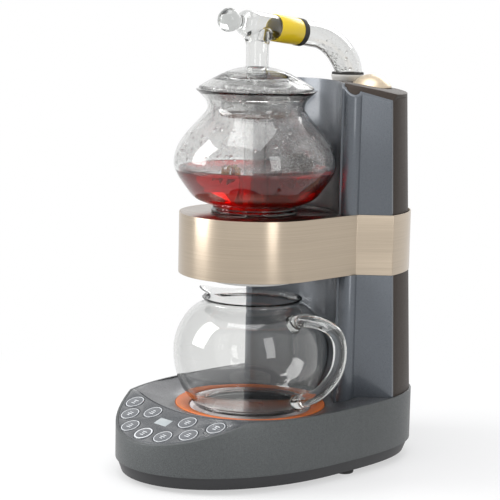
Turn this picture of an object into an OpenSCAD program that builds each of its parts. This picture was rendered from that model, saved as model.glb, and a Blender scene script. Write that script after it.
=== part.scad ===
// Automatic tea maker: steam boiler column, glass brewing pot on a round-nosed platform,
// glass steam arm, and a glass serving cup on a warming base.
// Millimetres, +Z up. The brewing axis is the vertical line through the pot and the cup;
// +X is the user's right, -Y the front with the keys.

/* [Base] */
// Half of the base's width
base_half_w = 94; // [90:1:100]
// From the brewing axis to the front of the base
base_front = 130; // [124:1:140]
// From the brewing axis to the back of the base
base_back = 152; // [146:1:165]
// Height of the base's rim above the table
rim_z = 60; // [56:1:66]
// Wall of the base housing
base_wall = 2.4; // [1.8:0.2:3.2]
// Height of the dark bottom cover's upper edge
cover_z = 14.7; // [12:0.5:18]
// Height of the rubber feet
foot_h = 4; // [3:0.5:6]
// Radius of a rubber foot
foot_r = 8; // [6:0.5:9]

/* [Plate and seat] */
// Outer radius of the orange seat ring
ring_r = 65; // [62:0.5:66]
// Inner radius of the orange seat ring
ring_in_r = 53; // [51:0.5:55]
// Height of the seat ring at its outer edge
ring_z = 53; // [52.5:0.25:54]
// Fall of the seat ring from its outer to its inner edge
ring_fall = 2.6; // [1.5:0.1:3]
// Thickness of the dished top plate
plate_t = 2.2; // [1.8:0.2:3]
// Slope of the dished plate in degrees
dish_slope = 15; // [12:0.5:16]

/* [Control panel] */
// Tilt of the key panel in degrees
panel_tilt = 20.6; // [18:0.2:23]
// Height of the panel's front edge
panel_front_z = 38; // [35:0.5:41]
// Radius of the arc between the panel and the plate
panel_arc_r = 200; // [170:5:260]
// From the brewing axis to that arc, at the middle
panel_arc_y = 82; // [79:0.5:85]
// Thickness of the panel
panel_t = 2.4; // [2:0.2:3]
// Radius of a key
key_r = 8.6; // [7.5:0.1:9]
// Travel of a key
key_travel = 0.8; // [0.5:0.1:1.2]
// Width of the display window
display_w = 15; // [12:0.5:17]
// Depth of the display window
display_d = 9; // [7:0.5:11]

/* [Column] */
// Half of the column's width at the foot
column_half_w = 93.2; // [90:0.2:96]
// Half of the column's width at the top
column_top_half_w = 86; // [84:0.5:90]
// From the brewing axis to the column's back at the top
column_top_back = 137; // [135:0.5:145]
// Height of the top's front edge above the pot's rim, at the middle
column_up = 8.1; // [5:0.1:12]
// Fall of the top towards the back in degrees
top_fall = 6.2; // [4:0.2:7]
// Radius of the top's crown
crown_r = 400; // [320:10:600]
// Radius of the recess that the pot and the cup stand in
recess_r = 72.5; // [72:0.25:74]
// Wall of the column's covers
column_wall = 2.4; // [2:0.2:3]
// Thickness of the top cover
top_t = 3; // [2.4:0.2:4]

/* [Platform] */
// Height of the platform's underside
platform_z = 167.5; // [166:0.5:171]
// Height of the steel band
band_h = 52; // [48:0.5:56]
// Radius of the platform's round nose
nose_r = 64.3; // [63:0.1:67]
// Thickness of the steel band
band_t = 0.8; // [0.6:0.1:1.2]
// Half of the band's width around the column
band_half_w = 90.4; // [90:0.1:92]
// Outer radius of the white drip outlet
outlet_r = 39; // [36:0.5:41]
// Depth of the drip outlet below the platform
outlet_h = 6.5; // [5:0.25:6.75]

/* [Boiler] */
// Width of the boiler
boiler_w = 120; // [110:1:124]
// Depth of the boiler
boiler_d = 46; // [42:1:47]
// From the steam socket's seat down to the boiler's top
boiler_drop = 33; // [28:0.5:45]
// Height of the boiler
boiler_h = 196; // [180:1:202]
// Wall of the boiler
boiler_wall = 1.2; // [0.8:0.1:1.6]
// Corner radius of the boiler
boiler_r = 18; // [15:0.5:20]
// Inner radius of the filler neck
neck_in_r = 9.8; // [9:0.1:10.4]
// Filler neck's place to the right of the middle
filler_x = 34; // [33.5:0.25:36]
// Filler neck's place behind the brewing axis
filler_y = 106; // [103:0.5:108]
// Radius of the filler cap
cap_r = 18; // [16:0.25:18.5]

/* [Brewing pot] */
// Widest radius of the brewing pot
pot_r = 69.5; // [66:0.25:70.5]
// Radius of the pot's foot
pot_foot_r = 37; // [35:0.5:39]
// Height of the pot from foot to rim
pot_h = 104.5; // [102:0.5:107]
// Wall of the pot
pot_wall = 2.2; // [1.8:0.1:2.6]
// Radius of the pot's neck
pot_neck_r = 42; // [41:0.25:43]
// Radius of the pot's flared rim
pot_rim_r = 51.8; // [50.5:0.1:53]
// Travel of the drain stopper
stopper_travel = 4; // [3:0.5:5]

/* [Steam arm] */
// Outer radius of the upright tube
arm_r = 9.7; // [9:0.1:10]
// Outer radius of the sloping tube
arm_cross_r = 11; // [10.4:0.1:11.4]
// Outer radius of the tube's end in its socket
arm_end_r = 12.4; // [12:0.1:12.6]
// Wall of the glass tubes
arm_wall = 2; // [1.5:0.1:2.4]
// Height of the crossing above the pot's rim
arm_rise = 54.4; // [50:0.2:58]
// Slope of the crossing tube in degrees
arm_tilt = 7.2; // [5:0.2:8]
// Radius of the arm's wide bend, on its centre line
arm_bend_r = 60; // [54:1:61]
// Radius of the tight turn down into the socket, on its centre line
arm_turn_r = 16; // [15:0.5:17]
// Slope in degrees where the wide bend ends and the tight turn begins
arm_turn_at = 50; // [46:1:52]
// From the brewing axis to the arm's socket
socket_y = 112; // [110:0.5:113]
// Radius of the ball at the arm's front end
ball_r = 10; // [9:0.25:11]

/* [Serving cup] */
// Widest radius of the serving cup
cup_r = 67.4; // [64:0.2:68.5]
// Radius of the cup's mouth
cup_rim_r = 42; // [40:0.5:43]
// Height of the cup
cup_h = 95; // [90:0.5:95.5]
// Wall of the cup
cup_wall = 2.2; // [1.8:0.1:2.8]
// From the brewing axis to the outside of the handle
handle_reach = 111.4; // [108:0.2:116]
// Radius of the handle's glass rod
handle_r = 5.6; // [5:0.1:6.2]
// From the brewing axis to the tip of the spout
spout_reach = 68; // [62:0.5:69]

/* [Clearances] */
// Gap between pieces that lift off or move
gap = 0.3; // [0.3:0.05:0.4]
// Gap along the seams between fixed covers
seam = 0.2; // [0.1:0.05:0.3]
// Gap around the upright tube in the lid
tube_gap = 0.35; // [0.3:0.05:0.5]

/* [Hidden] */

// Overshoot of a cutting shape past the face that it cuts
eps = 0.5;
// Larger than the object, for half-space cuts
big = 600;
// Points around an egg-shaped outline
egg_n = 96;

dark = [0.27, 0.28, 0.29];
grey_blue = [0.36, 0.39, 0.42];
steel = [0.78, 0.74, 0.67];
glass = [0.85, 0.9, 0.92, 0.4];

// Egg-shaped outline: widest at egg_y, pointed to the front, squarer to the back
egg_y = 10;
egg_front_n = 2.05;
egg_back_n = 3.2;

// The origin stands on the table under the middle of the whole object's box
shift_x = -(handle_reach - base_half_w) / 2;
shift_y = -(base_back - base_front) / 2;

module placed() translate([shift_x, shift_y, 0]) children();

function egg_point(a, half_w, front, back) =
    let (c = cos(a), s = sin(a), n = s < 0 ? egg_front_n : egg_back_n,
        reach = s < 0 ? front + egg_y : back - egg_y,
        k = pow(pow(abs(c), n) + pow(abs(s), n), -1 / n))
    [half_w * c * k, egg_y + reach * s * k];

function egg(half_w, front, back) =
    [for (i = [0 : egg_n - 1]) egg_point(i * 360 / egg_n, half_w, front, back)];

function base_egg(inset) = egg(base_half_w - inset, base_front - inset, base_back - inset);

// Smooth curve through the given points, with steps pieces between each pair
function curve(p, steps) =
    [for (i = [0 : len(p) - 2]) for (k = [0 : steps - 1])
        let (a = p[max(i - 1, 0)], b = p[i], c = p[i + 1], d = p[min(i + 2, len(p) - 1)],
            t = k / steps)
        0.5 * (2 * b + (c - a) * t + (2 * a - 5 * b + 4 * c - d) * t * t
            + (3 * b - a - 3 * c + d) * t * t * t),
        p[len(p) - 1]];

// Direction of a curve at its point i
function along(p, i) =
    let (d = p[min(i + 1, len(p) - 1)] - p[max(i - 1, 0)]) d / norm(d);

// The curve moved sideways by t, to its left for t > 0
function beside(p, t) =
    [for (i = [0 : len(p) - 1]) let (d = along(p, i)) [p[i][0] - d[1] * t, p[i][1] + d[0] * t]];

function reversed(p) = [for (i = [len(p) - 1 : -1 : 0]) p[i]];

// Wall of revolution: the outer profile runs upwards, the wall lies inside it
module turned_wall(outer, t) {
    inner = [for (q = beside(outer, t)) [max(q[0], 0), q[1]]];
    rotate_extrude($fn = 120) polygon(concat(outer, reversed(inner)));
}

// Round rod along a path in the X-Z plane, ends left flat
module rod(path, r, sides = 12) {
    n = len(path);
    points = [for (i = [0 : n - 1]) let (d = along(path, i)) for (k = [0 : sides - 1])
        let (a = k * 360 / sides)
        [path[i][0] - d[1] * r * cos(a), r * sin(a), path[i][1] + d[0] * r * cos(a)]];
    sides_f = [for (i = [0 : n - 2]) for (k = [0 : sides - 1])
        let (a = i * sides + k, b = i * sides + (k + 1) % sides)
        [a, b, b + sides, a + sides]];
    first = [for (k = [0 : sides - 1]) sides - 1 - k];
    last = [for (k = [0 : sides - 1]) (n - 1) * sides + k];
    polyhedron(points, concat(sides_f, [first, last]));
}

// ---- base ----

panel_y = -base_front;

// Keeps what lies above the plane of the key panel, lowered by down
module above_panel(down) translate([0, panel_y, panel_front_z - down])
    rotate([panel_tilt, 0, 0])
    translate([-big / 2, -big / 2, 0]) cube([big, big, big / 2]);

// Places its children on the panel: x to the right, y up the slope, z out of the face
module on_panel() placed() translate([0, panel_y, panel_front_z]) rotate([panel_tilt, 0, 0])
    children();

boss_r = 4;
boss_h = 16;
screw_r = 1.4;
screw_head_r = 2.8;
boss_places = [[58, -66], [-58, -66], [84, 5], [-84, 5], [62, 124], [-62, 124]];

module inlet_space(grow) translate([-inlet_w / 2 - grow, base_back - inlet_d, inlet_z - grow])
    cube([inlet_w + 2 * grow, inlet_d + 20, inlet_h + 2 * grow]);

module base_housing() color(dark) placed() difference() {
    union() {
        difference() {
            translate([0, 0, cover_z]) linear_extrude(rim_z - cover_z) polygon(base_egg(0));
            translate([0, 0, cover_z - eps]) linear_extrude(rim_z)
                polygon(base_egg(base_wall));
        }
        intersection() {
            translate([0, 0, cover_z]) linear_extrude(boss_h)
                polygon(base_egg(base_wall / 2));
            for (p = boss_places) translate([p[0], p[1], cover_z]) {
                cylinder(r = boss_r, h = boss_h, $fn = 40);
                rotate([0, 0, atan2(p[1], p[0])]) translate([0, -base_wall / 2, 0])
                    cube([base_half_w, base_wall, boss_h - 2]);
            }
        }
    }
    for (p = boss_places) translate([p[0], p[1], cover_z - eps])
        cylinder(r = screw_r, h = boss_h - 2, $fn = 24);
    above_panel(0);
    inlet_space(seam);
}

cover_floor = 2;
cover_inset_top = 1.2;
cover_inset_bottom = 5;
vent_count = 9;
vent_w = 2.6;
vent_l = 34;
vent_pitch = 7;
board_z = 16;
board_posts = [[-36, 94], [36, 94], [-36, 122], [36, 122]];

module cover_pan(inset, low) hull() {
    translate([0, 0, low]) linear_extrude(0.01) polygon(base_egg(cover_inset_bottom + inset));
    translate([0, 0, cover_z - 0.01]) linear_extrude(0.01)
        polygon(base_egg(cover_inset_top + inset));
}

module bottom_cover() color([0.08, 0.08, 0.08]) placed() difference() {
    union() {
        difference() {
            cover_pan(0, foot_h);
            translate([0, 0, eps / 10]) cover_pan(cover_floor, foot_h + cover_floor);
        }
        for (p = boss_places) translate([p[0], p[1], foot_h])
            cylinder(r = boss_r, h = cover_z - foot_h, $fn = 40);
        for (p = board_posts) translate([p[0], p[1], foot_h])
            cylinder(r = 3, h = board_z - foot_h, $fn = 32);
    }
    for (p = boss_places) translate([p[0], p[1], foot_h - eps]) {
        cylinder(r = screw_r + 0.2, h = cover_z, $fn = 24);
        cylinder(r = screw_head_r + seam, h = cover_floor * 2 + eps, $fn = 32);
    }
    for (i = [0 : vent_count - 1])
        translate([(i - (vent_count - 1) / 2) * vent_pitch - vent_w / 2, 20, foot_h - eps])
            cube([vent_w, vent_l, cover_floor + 2 * eps]);
}

foot_places = [[55, -50], [-55, -50], [79, 38], [-79, 38], [46, 128], [-46, 128]];

module feet() color([0.1, 0.1, 0.1]) placed() for (p = foot_places) translate([p[0], p[1], 0])
    rotate_extrude($fn = 48) polygon([[0, 0], [foot_r - 0.8, 0], [foot_r, 0.8],
        [foot_r, foot_h], [0, foot_h]]);

module base_screws() color("silver") placed() for (p = boss_places)
    translate([p[0], p[1], foot_h + cover_floor * 2]) {
        translate([0, 0, -2]) cylinder(r = screw_head_r, h = 2, $fn = 32);
        cylinder(r = screw_r - 0.05, h = 18, $fn = 24);
    }

// The dished plate: a well for the seat ring, a cone out to the rim, flat beyond
well_r = ring_r + gap;
well_z = ring_z - 0.6;
cup_z = ring_z - ring_fall - 0.1;
warm_t = 1.5;
warm_z = cup_z - gap - warm_t;
ledge_in_r = ring_in_r - 7;
dish_r = well_r + (rim_z - well_z) / tan(dish_slope);
dish_out = 2 * base_back;

module below_dish() rotate_extrude($fn = 180) polygon([[0, cover_z], [0, well_z],
    [well_r, well_z], [dish_r, rim_z], [dish_out, rim_z], [dish_out, cover_z]]);

// The arc that parts the plate from the key panel, moved to the front by grow
module plate_side(grow) translate([0, panel_arc_r - panel_arc_y, 0])
    cylinder(r = panel_arc_r + grow, h = column_z, $fn = 360);

module base_top_plate() color([0.3, 0.31, 0.32]) placed() intersection() {
    rotate_extrude($fn = 180) polygon([[ledge_in_r, warm_z], [well_r, warm_z],
        [well_r, well_z], [dish_r, rim_z], [dish_out, rim_z], [dish_out, rim_z - plate_t],
        [dish_r + 0.3, rim_z - plate_t], [well_r + plate_t, well_z - plate_t + 0.4],
        [well_r + plate_t, warm_z - plate_t], [ledge_in_r, warm_z - plate_t]]);
    linear_extrude(column_z) polygon(base_egg(base_wall + seam));
    plate_side(-seam);
}

module seat_ring() color([0.93, 0.42, 0.14]) placed() rotate_extrude($fn = 160)
    polygon([[ring_in_r, warm_z], [ring_r, warm_z], [ring_r, ring_z - 0.5],
        [ring_r - 0.5, ring_z], [ring_in_r + 0.6, ring_z - ring_fall + 0.3],
        [ring_in_r, ring_z - ring_fall - 0.3]]);

module warming_plate() color([0.8, 0.8, 0.8]) placed() rotate_extrude($fn = 140)
    polygon([[0, warm_z], [ring_in_r - seam, warm_z], [ring_in_r - seam, warm_z + warm_t - 0.5],
        [ring_in_r - seam - 0.5, warm_z + warm_t], [0, warm_z + warm_t]]);

heater_r = 36;
heater_tube_r = 3.2;
heater_pin_h = 20;
heater_pin_r = 1.6;
heater_pin_down = 2;

module plate_heater() color([0.5, 0.48, 0.46]) placed() {
    translate([0, 0, warm_z - heater_tube_r]) rotate([0, 0, -160])
        rotate_extrude(angle = 320, $fn = 96) translate([heater_r, 0])
        circle(r = heater_tube_r, $fn = 24);
    for (a = [-160, 160]) rotate([0, 0, a])
        translate([heater_r, 0, warm_z - heater_pin_h - heater_pin_down])
        cylinder(r = heater_pin_r, h = heater_pin_h, $fn = 20);
}

module plate_thermostat() color([0.85, 0.83, 0.78]) placed() translate([0, 0, warm_z - 7]) {
    cylinder(r = 8, h = 7, $fn = 40);
    for (x = [-4, 4]) translate([x - 0.4, -2, -8]) cube([0.8, 4, 9]);
}

// ---- key panel ----

// Key centres on the panel, from its front edge up the slope
key_places = [[-54.4, 48.2], [-42.6, 32], [-26.2, 17.8], [-4.4, 13.5], [17.1, 16.3],
    [37.3, 27.1], [52.4, 44.8], [21, 41.3], [-23.5, 41.8]];
display_place = [-1.7, 34];
key_flange = 0.8;
key_flange_r = key_r + gap + 0.6;
switch_h = 1;
board_drop = panel_t + key_flange + key_travel + switch_h + 2 * gap + 1;
panel_posts = [[0, 46], [-39, 45], [38, 41]];

module panel_region(inset, grow) difference() {
    linear_extrude(rim_z) polygon(base_egg(inset));
    translate([0, 0, -eps]) plate_side(grow);
}

module control_panel() color(grey_blue) difference() {
    union() {
        placed() difference() {
            panel_region(base_wall + seam, seam);
            above_panel(0);
            translate([0, 0, -panel_t / cos(panel_tilt)]) difference() {
                translate([-big / 2, -big / 2, -big / 2]) cube(big);
                above_panel(0);
            }
        }
        on_panel() for (p = panel_posts) translate([p[0], p[1], -board_drop])
            cylinder(r = 2.2, h = board_drop - panel_t / 2, $fn = 28);
    }
    on_panel() {
        for (p = key_places) translate([p[0], p[1], -panel_t * 2])
            cylinder(r = key_r + gap, h = panel_t * 3, $fn = 64);
        translate([display_place[0] - display_w / 2 - seam,
            display_place[1] - display_d / 2 - seam, -panel_t * 2])
            cube([display_w + 2 * seam, display_d + 2 * seam, panel_t * 3]);
    }
}

module display_window() color([0.6, 0.64, 0.66]) on_panel()
    translate([display_place[0] - display_w / 2, display_place[1] - display_d / 2,
        -board_drop]) {
        translate([1.5, 1.5, 0]) cube([display_w - 3, display_d - 3, board_drop - 1]);
        translate([0, 0, board_drop - panel_t]) cube([display_w, display_d, panel_t]);
    }

module control_board() color([0.1, 0.35, 0.2]) {
    placed() intersection() {
        panel_region(base_wall + 7, 4);
        translate([0, panel_y, panel_front_z]) rotate([panel_tilt, 0, 0])
            translate([-big / 2, -big / 2, -board_drop - 1.6]) cube([big, big, 1.6]);
    }
    on_panel() for (p = key_places) translate([p[0] - 3, p[1] - 3, -board_drop])
        cube([6, 6, switch_h]);
}

// A round key: cap flush with the panel, flange behind it, stem to its switch
module key(i) color([0.33, 0.36, 0.4]) on_panel()
    translate([key_places[i - 1][0], key_places[i - 1][1], 0]) rotate_extrude($fn = 64)
    polygon([[0, -board_drop + switch_h + key_travel + gap],
        [2, -board_drop + switch_h + key_travel + gap],
        [2, -panel_t - gap - key_flange], [key_flange_r, -panel_t - gap - key_flange],
        [key_flange_r, -panel_t - gap], [key_r, -panel_t - gap],
        [key_r, 0], [key_r - 0.4, 0.35], [0, 0.35]]);

module button_1() key(1);
module button_2() key(2);
module button_3() key(3);
module button_4() key(4);
module button_5() key(5);
module button_6() key(6);
module button_7() key(7);
module button_8() key(8);
module button_9() key(9);

// ---- electrics at the back of the base ----

inlet_w = 27;
inlet_h = 20;
inlet_d = 22;
inlet_z = 24;
inlet_wall = 2;

module mains_inlet() color([0.07, 0.07, 0.07]) placed() {
    difference() {
        inlet_block(0, inlet_d);
        translate([0, inlet_wall + 1, 0]) inlet_block(inlet_wall, inlet_d);
    }
    for (x = [-7, 0, 7]) translate([x - 1, base_back - inlet_d + 1,
        inlet_z + inlet_h / 2 - 2 + (x == 0 ? 3 : 0)]) cube([2, 15, 4]);
}

module inlet_block(inset, d) translate([-inlet_w / 2 + inset,
    base_back - 0.2 - inlet_d, inlet_z + inset])
    cube([inlet_w - 2 * inset, d, inlet_h - 2 * inset]);

power_board_w = 80;
power_board_d = 36;
power_board_y = 90;
board_t = 1.6;
// Blocks on the power board: place and size; then its round capacitors
power_blocks = [[-34, 94, 26, 22, 16], [2, 96, 19, 15, 15]];
power_cans = [[27, 100], [34, 100]];

module power_board() color([0.55, 0.4, 0.2]) placed() translate([0, 0, board_z]) {
    translate([-power_board_w / 2, power_board_y, 0])
        cube([power_board_w, power_board_d, board_t]);
    for (b = power_blocks) translate([b[0], b[1], board_t]) cube([b[2], b[3], b[4]]);
    for (c = power_cans) translate([c[0], c[1], board_t]) cylinder(r = 3, h = 12, $fn = 28);
}

// ---- column ----

// The wing beside the recess rises at 45 degrees in plan: y = |x| + wing_y
wing_y = -3.5;
post_r = 8.2;
post_at = [57.5, 58.5];
root2 = sqrt(2);
platform_top = platform_z + band_h;
pot_z = platform_top + gap;
pot_top = pot_z + pot_h;
column_z = pot_top + column_up;
taper_z = column_z + 12;

// Column's outer form, moved in by inset
module column_outer(inset) hull() {
    translate([0, 0, well_z - 10]) linear_extrude(0.01)
        polygon(egg(column_half_w - inset, base_front, base_back - 0.8 - inset));
    translate([0, 0, taper_z]) linear_extrude(0.01)
        polygon(egg(column_top_half_w - inset, base_front, column_top_back - inset));
}

// Plan of what stands behind the recess, the ridges and the wings, moved back by t
module column_plan(t) {
    difference() {
        polygon([[0, wing_y + t * root2], [big, big + wing_y + t * root2],
            [-big, big + wing_y + t * root2]]);
        circle(r = recess_r + t, $fn = 180);
    }
    for (s = [-1, 1]) translate([s * post_at[0], post_at[1]]) circle(r = post_r - t, $fn = 64);
}

// Everything below the crowned, falling top and its two slanting front corners
corner_at = [50, 54, -1];
corner_tilt = 41.3;
corner_turn = -27.5;

module under_top(down) difference() {
    translate([0, recess_r, column_z - down]) rotate([-top_fall, 0, 0])
        translate([0, 0, -crown_r]) rotate([90, 0, 0])
        cylinder(r = crown_r, h = 2 * big, center = true, $fn = 360);
    for (s = [0, 1]) mirror([s, 0, 0])
        translate([corner_at[0], corner_at[1], column_z + corner_at[2] - down])
        rotate([0, corner_tilt, corner_turn]) translate([-big, -big, 0])
        cube([2 * big, 2 * big, big]);
}

// One front cover between two heights: a curved sheet following recess, ridge and wing
module front_cover(low, high) difference() {
    intersection() {
        translate([0, 0, low]) linear_extrude(high - low) difference() {
            column_plan(0);
            column_plan(column_wall);
        }
        column_outer(0);
        under_top(0);
    }
    below_dish();
}

module column_front_lower() color(grey_blue) placed()
    front_cover(warm_z, platform_z);

module column_front_upper() color(grey_blue) placed()
    front_cover(platform_top, column_z + 10);

module column_rear_cover() color(dark) placed() difference() {
    intersection() {
        difference() {
            column_outer(0);
            column_outer(column_wall + 1);
        }
        translate([0, 0, rim_z]) linear_extrude(column_z)
            column_plan(column_wall + seam);
        under_top(top_t + seam);
    }
    translate([0, 0, platform_z - seam]) linear_extrude(band_h + 2 * seam) difference() {
        square(big, center = true);
        band_plan(band_t + seam);
    }
}

// The socket's seat stands a little over the falling top, the cap's lies below it, where the
// crown has dropped at the cap's outer side
socket_seat_r = 13.6;
socket_seat_up = 0.9;
cap_seat_down = 3.8;
cap_well = 1;
cap_well_wall = 1.6;
socket_seat_z = column_z - (socket_y - recess_r) * tan(top_fall) + socket_seat_up;
cap_seat_z = column_z - (filler_y - recess_r) * tan(top_fall) - cap_seat_down;
neck_wall = 2;
spigot_r = 8;
spigot_wall = 2;

module column_top_cover() color(dark) placed() difference() {
    union() {
        difference() {
            intersection() {
                column_outer(0);
                translate([0, 0, platform_top]) linear_extrude(column_z)
                    column_plan(column_wall + seam);
                under_top(0);
            }
            under_top(top_t);
            translate([filler_x, filler_y, cap_seat_z])
                cylinder(r = cap_r + cap_well, h = big, $fn = 72);
            translate([0, socket_y, socket_seat_z])
                cylinder(r = socket_seat_r, h = big, $fn = 72);
        }
        translate([filler_x, filler_y, cap_seat_z - top_t])
            cylinder(r = cap_r + cap_well, h = top_t, $fn = 72);
        translate([0, socket_y, socket_seat_z - top_t])
            cylinder(r = socket_seat_r, h = top_t, $fn = 72);
        intersection() {
            column_outer(0);
            under_top(0);
            translate([filler_x, filler_y, cap_seat_z - top_t]) difference() {
                cylinder(r = cap_r + cap_well + cap_well_wall, h = big, $fn = 72);
                translate([0, 0, -eps]) cylinder(r = cap_r + cap_well, h = 2 * big, $fn = 72);
            }
        }
    }
    translate([filler_x, filler_y, 0])
        cylinder(r = neck_in_r + neck_wall + gap, h = big, $fn = 72);
    translate([0, socket_y, 0]) cylinder(r = spigot_r + seam, h = big, $fn = 60);
}

// ---- steel band and platform ----

// Plan of the platform and the column inside the steel band, moved in by inset
module band_plan(inset) {
    circle(r = nose_r - inset, $fn = 180);
    translate([inset - nose_r, 0])
        square([2 * (nose_r - inset), nose_r + wing_y + inset * 0.414 + 0.1]);
    intersection() {
        polygon(egg(band_half_w - inset, base_front, base_back - 6 - inset));
        polygon([[0, wing_y + inset * root2], [big, big + wing_y + inset * root2],
            [-big, big + wing_y + inset * root2]]);
    }
}

module steel_band() color(steel) placed() translate([0, 0, platform_z])
    linear_extrude(band_h) difference() {
        band_plan(0);
        band_plan(band_t);
    }

platform_plate_t = 1.6;
seat_hole_r = 30;

module platform_plan(inset, hole_r) difference() {
    band_plan(inset);
    translate([0, recess_r * 1.5 + column_wall]) square([2 * big, recess_r], center = true);
    circle(r = hole_r, $fn = 96);
}

module platform_top_plate() color(steel) placed()
    translate([0, 0, platform_top - platform_plate_t]) linear_extrude(platform_plate_t)
    platform_plan(band_t, seat_hole_r);

module platform_bottom_cover() color(dark) placed() translate([0, 0, platform_z])
    linear_extrude(platform_plate_t) platform_plan(band_t, funnel_r + gap);

funnel_r = 7;
funnel_wall = 1.4;
deck_z = platform_z + 12;
deck_t = 2;

module platform_body() color([0.85, 0.85, 0.85]) placed() {
    translate([0, 0, platform_z + platform_plate_t])
        linear_extrude(band_h - 2 * platform_plate_t) difference() {
            platform_plan(band_t, 1);
            platform_plan(band_t + 2.2, 0.9);
            translate([0, recess_r]) square([2 * (nose_r - 6), recess_r], center = true);
            circle(r = seat_hole_r, $fn = 96);
        }
    translate([0, 0, deck_z]) linear_extrude(deck_t) platform_plan(band_t + 2, funnel_r + gap);
}

module drip_outlet() color([0.93, 0.93, 0.9]) placed() rotate_extrude($fn = 120)
    polygon([[funnel_r - 2, platform_z], [funnel_r - 2, platform_z - outlet_h + 1],
        [funnel_r + 1, platform_z - outlet_h + 1], [funnel_r + 1.6, platform_z - 3],
        [outlet_r - 6, platform_z - 3], [outlet_r - 4.5, platform_z - outlet_h],
        [outlet_r - 2, platform_z - outlet_h], [outlet_r, platform_z - outlet_h + 4],
        [outlet_r, platform_z]]);

funnel_top = platform_top - platform_plate_t - 2;

module drain_funnel() color([0.9, 0.9, 0.88]) placed() turned_wall([[funnel_r, platform_z],
    [funnel_r, funnel_top - 14], [seat_hole_r - 5, funnel_top - 3],
    [seat_hole_r - 1, funnel_top - 2.5], [seat_hole_r - 1, funnel_top]], funnel_wall);

module valve_coil() color([0.7, 0.4, 0.2]) placed() translate([0, 0, deck_z + deck_t])
    difference() {
        cylinder(r = 18, h = 14, $fn = 72);
        translate([0, 0, -eps]) cylinder(r = funnel_r + 0.4, h = 20, $fn = 60);
    }

drain_r = 6;

module pot_seat_ring() color([0.2, 0.2, 0.2]) placed()
    translate([0, 0, funnel_top]) rotate_extrude($fn = 96)
    polygon([[drain_r + 2, 0], [seat_hole_r - 0.1, 0],
        [seat_hole_r - 0.1, platform_top - funnel_top],
        [drain_r + 2, platform_top - funnel_top]]);

// ---- boiler and steam path ----

boiler_y = recess_r + column_wall + 5;

module rounded_plan(w, d, r) {
    translate([-w / 2 + r, 0]) square([w - 2 * r, d]);
    translate([-w / 2, r]) square([w, d - 2 * r]);
    for (x = [-w / 2 + r, w / 2 - r], y = [r, d - r]) translate([x, y])
        circle(r = r, $fn = 48);
}

neck_top = cap_seat_z + 4;
boiler_top = socket_seat_z - boiler_drop;
boiler_z = boiler_top - boiler_h;
// Height of the short pipe on the boiler that the steam pipe slips over
nipple_h = 8;

module boiler() color([0.82, 0.82, 0.8]) placed() difference() {
    union() {
        translate([0, boiler_y, boiler_z]) linear_extrude(boiler_h)
            rounded_plan(boiler_w, boiler_d, boiler_r);
        translate([filler_x, filler_y, boiler_z])
            cylinder(r = neck_in_r + neck_wall, h = neck_top - boiler_z, $fn = 72);
        translate([0, socket_y, boiler_top - 1])
            cylinder(r = spigot_r - spigot_wall, h = nipple_h + 1, $fn = 48);
    }
    translate([0, boiler_y + boiler_wall, boiler_z + boiler_wall])
        linear_extrude(boiler_h - 2 * boiler_wall)
        rounded_plan(boiler_w - 2 * boiler_wall, boiler_d - 2 * boiler_wall,
            boiler_r - boiler_wall);
    translate([filler_x, filler_y, boiler_top - 10])
        cylinder(r = neck_in_r, h = column_z, $fn = 72);
    translate([0, socket_y, boiler_top - 10])
        cylinder(r = spigot_r - spigot_wall - boiler_wall, h = column_z, $fn = 48);
}

boiler_heater_h = 8;
boiler_heater_r = 20;
heater_tab_x = 26;

module boiler_heater() color([0.45, 0.43, 0.42]) placed()
    translate([0, boiler_y + boiler_d / 2, boiler_z - boiler_heater_h]) {
        cylinder(r = boiler_heater_r, h = boiler_heater_h, $fn = 72);
        for (x = [-heater_tab_x, heater_tab_x]) translate([x, 0, 0])
            cylinder(r = 2.4, h = boiler_heater_h, $fn = 24);
        translate([-heater_tab_x, -2, 2]) cube([2 * heater_tab_x, 4, 3]);
    }

module boiler_thermostat() color([0.9, 0.88, 0.82]) placed()
    translate([-28, boiler_y + boiler_d, boiler_z + 70]) rotate([-90, 0, 0]) {
        cylinder(r = 9, h = 5, $fn = 48);
        for (x = [-4, 4]) translate([x - 0.4, -2, 4]) cube([0.8, 4, 4.5]);
    }

bracket_t = 2;
bracket_inset = 6;
// How far the bracket's sides reach up the boiler
bracket_up = 40;

module boiler_bracket() color([0.6, 0.6, 0.6]) placed() translate([0, boiler_y + bracket_inset, 0]) {
    for (s = [-1, 1]) translate([s * (boiler_w + bracket_t) / 2 - bracket_t / 2, 0, rim_z])
        cube([bracket_t, boiler_d - 2 * bracket_inset, boiler_z + bracket_up - rim_z]);
    translate([-(boiler_w + bracket_t) / 2, 0, boiler_z - boiler_heater_h - bracket_t])
        cube([boiler_w + bracket_t, boiler_d - 2 * bracket_inset, bracket_t]);
}

spigot_z = socket_seat_z - 11;

module steam_pipe() color([0.9, 0.9, 0.88, 0.8]) placed() translate([0, socket_y, 0])
    difference() {
        translate([0, 0, boiler_top]) cylinder(r = spigot_r, h = spigot_z - boiler_top, $fn = 60);
        translate([0, 0, boiler_top - eps])
            cylinder(r = spigot_r - spigot_wall, h = column_z, $fn = 60);
    }

arm_end_z = socket_seat_z + 2;
socket_h = 6;
socket_wall = 2.2;

module steam_socket() color([0.93, 0.93, 0.92, 0.9]) placed() translate([0, socket_y, 0])
    rotate_extrude($fn = 96) polygon([[spigot_r - spigot_wall, spigot_z],
        [spigot_r, spigot_z], [spigot_r, socket_seat_z],
        [socket_seat_r - 0.4, socket_seat_z],
        [arm_end_r + gap + socket_wall, socket_seat_z + socket_h - 1.5],
        [arm_end_r + gap + socket_wall, socket_seat_z + socket_h],
        [arm_end_r + gap, socket_seat_z + socket_h], [arm_end_r + gap, arm_end_z - gap],
        [spigot_r - spigot_wall, arm_end_z - gap]]);

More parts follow.
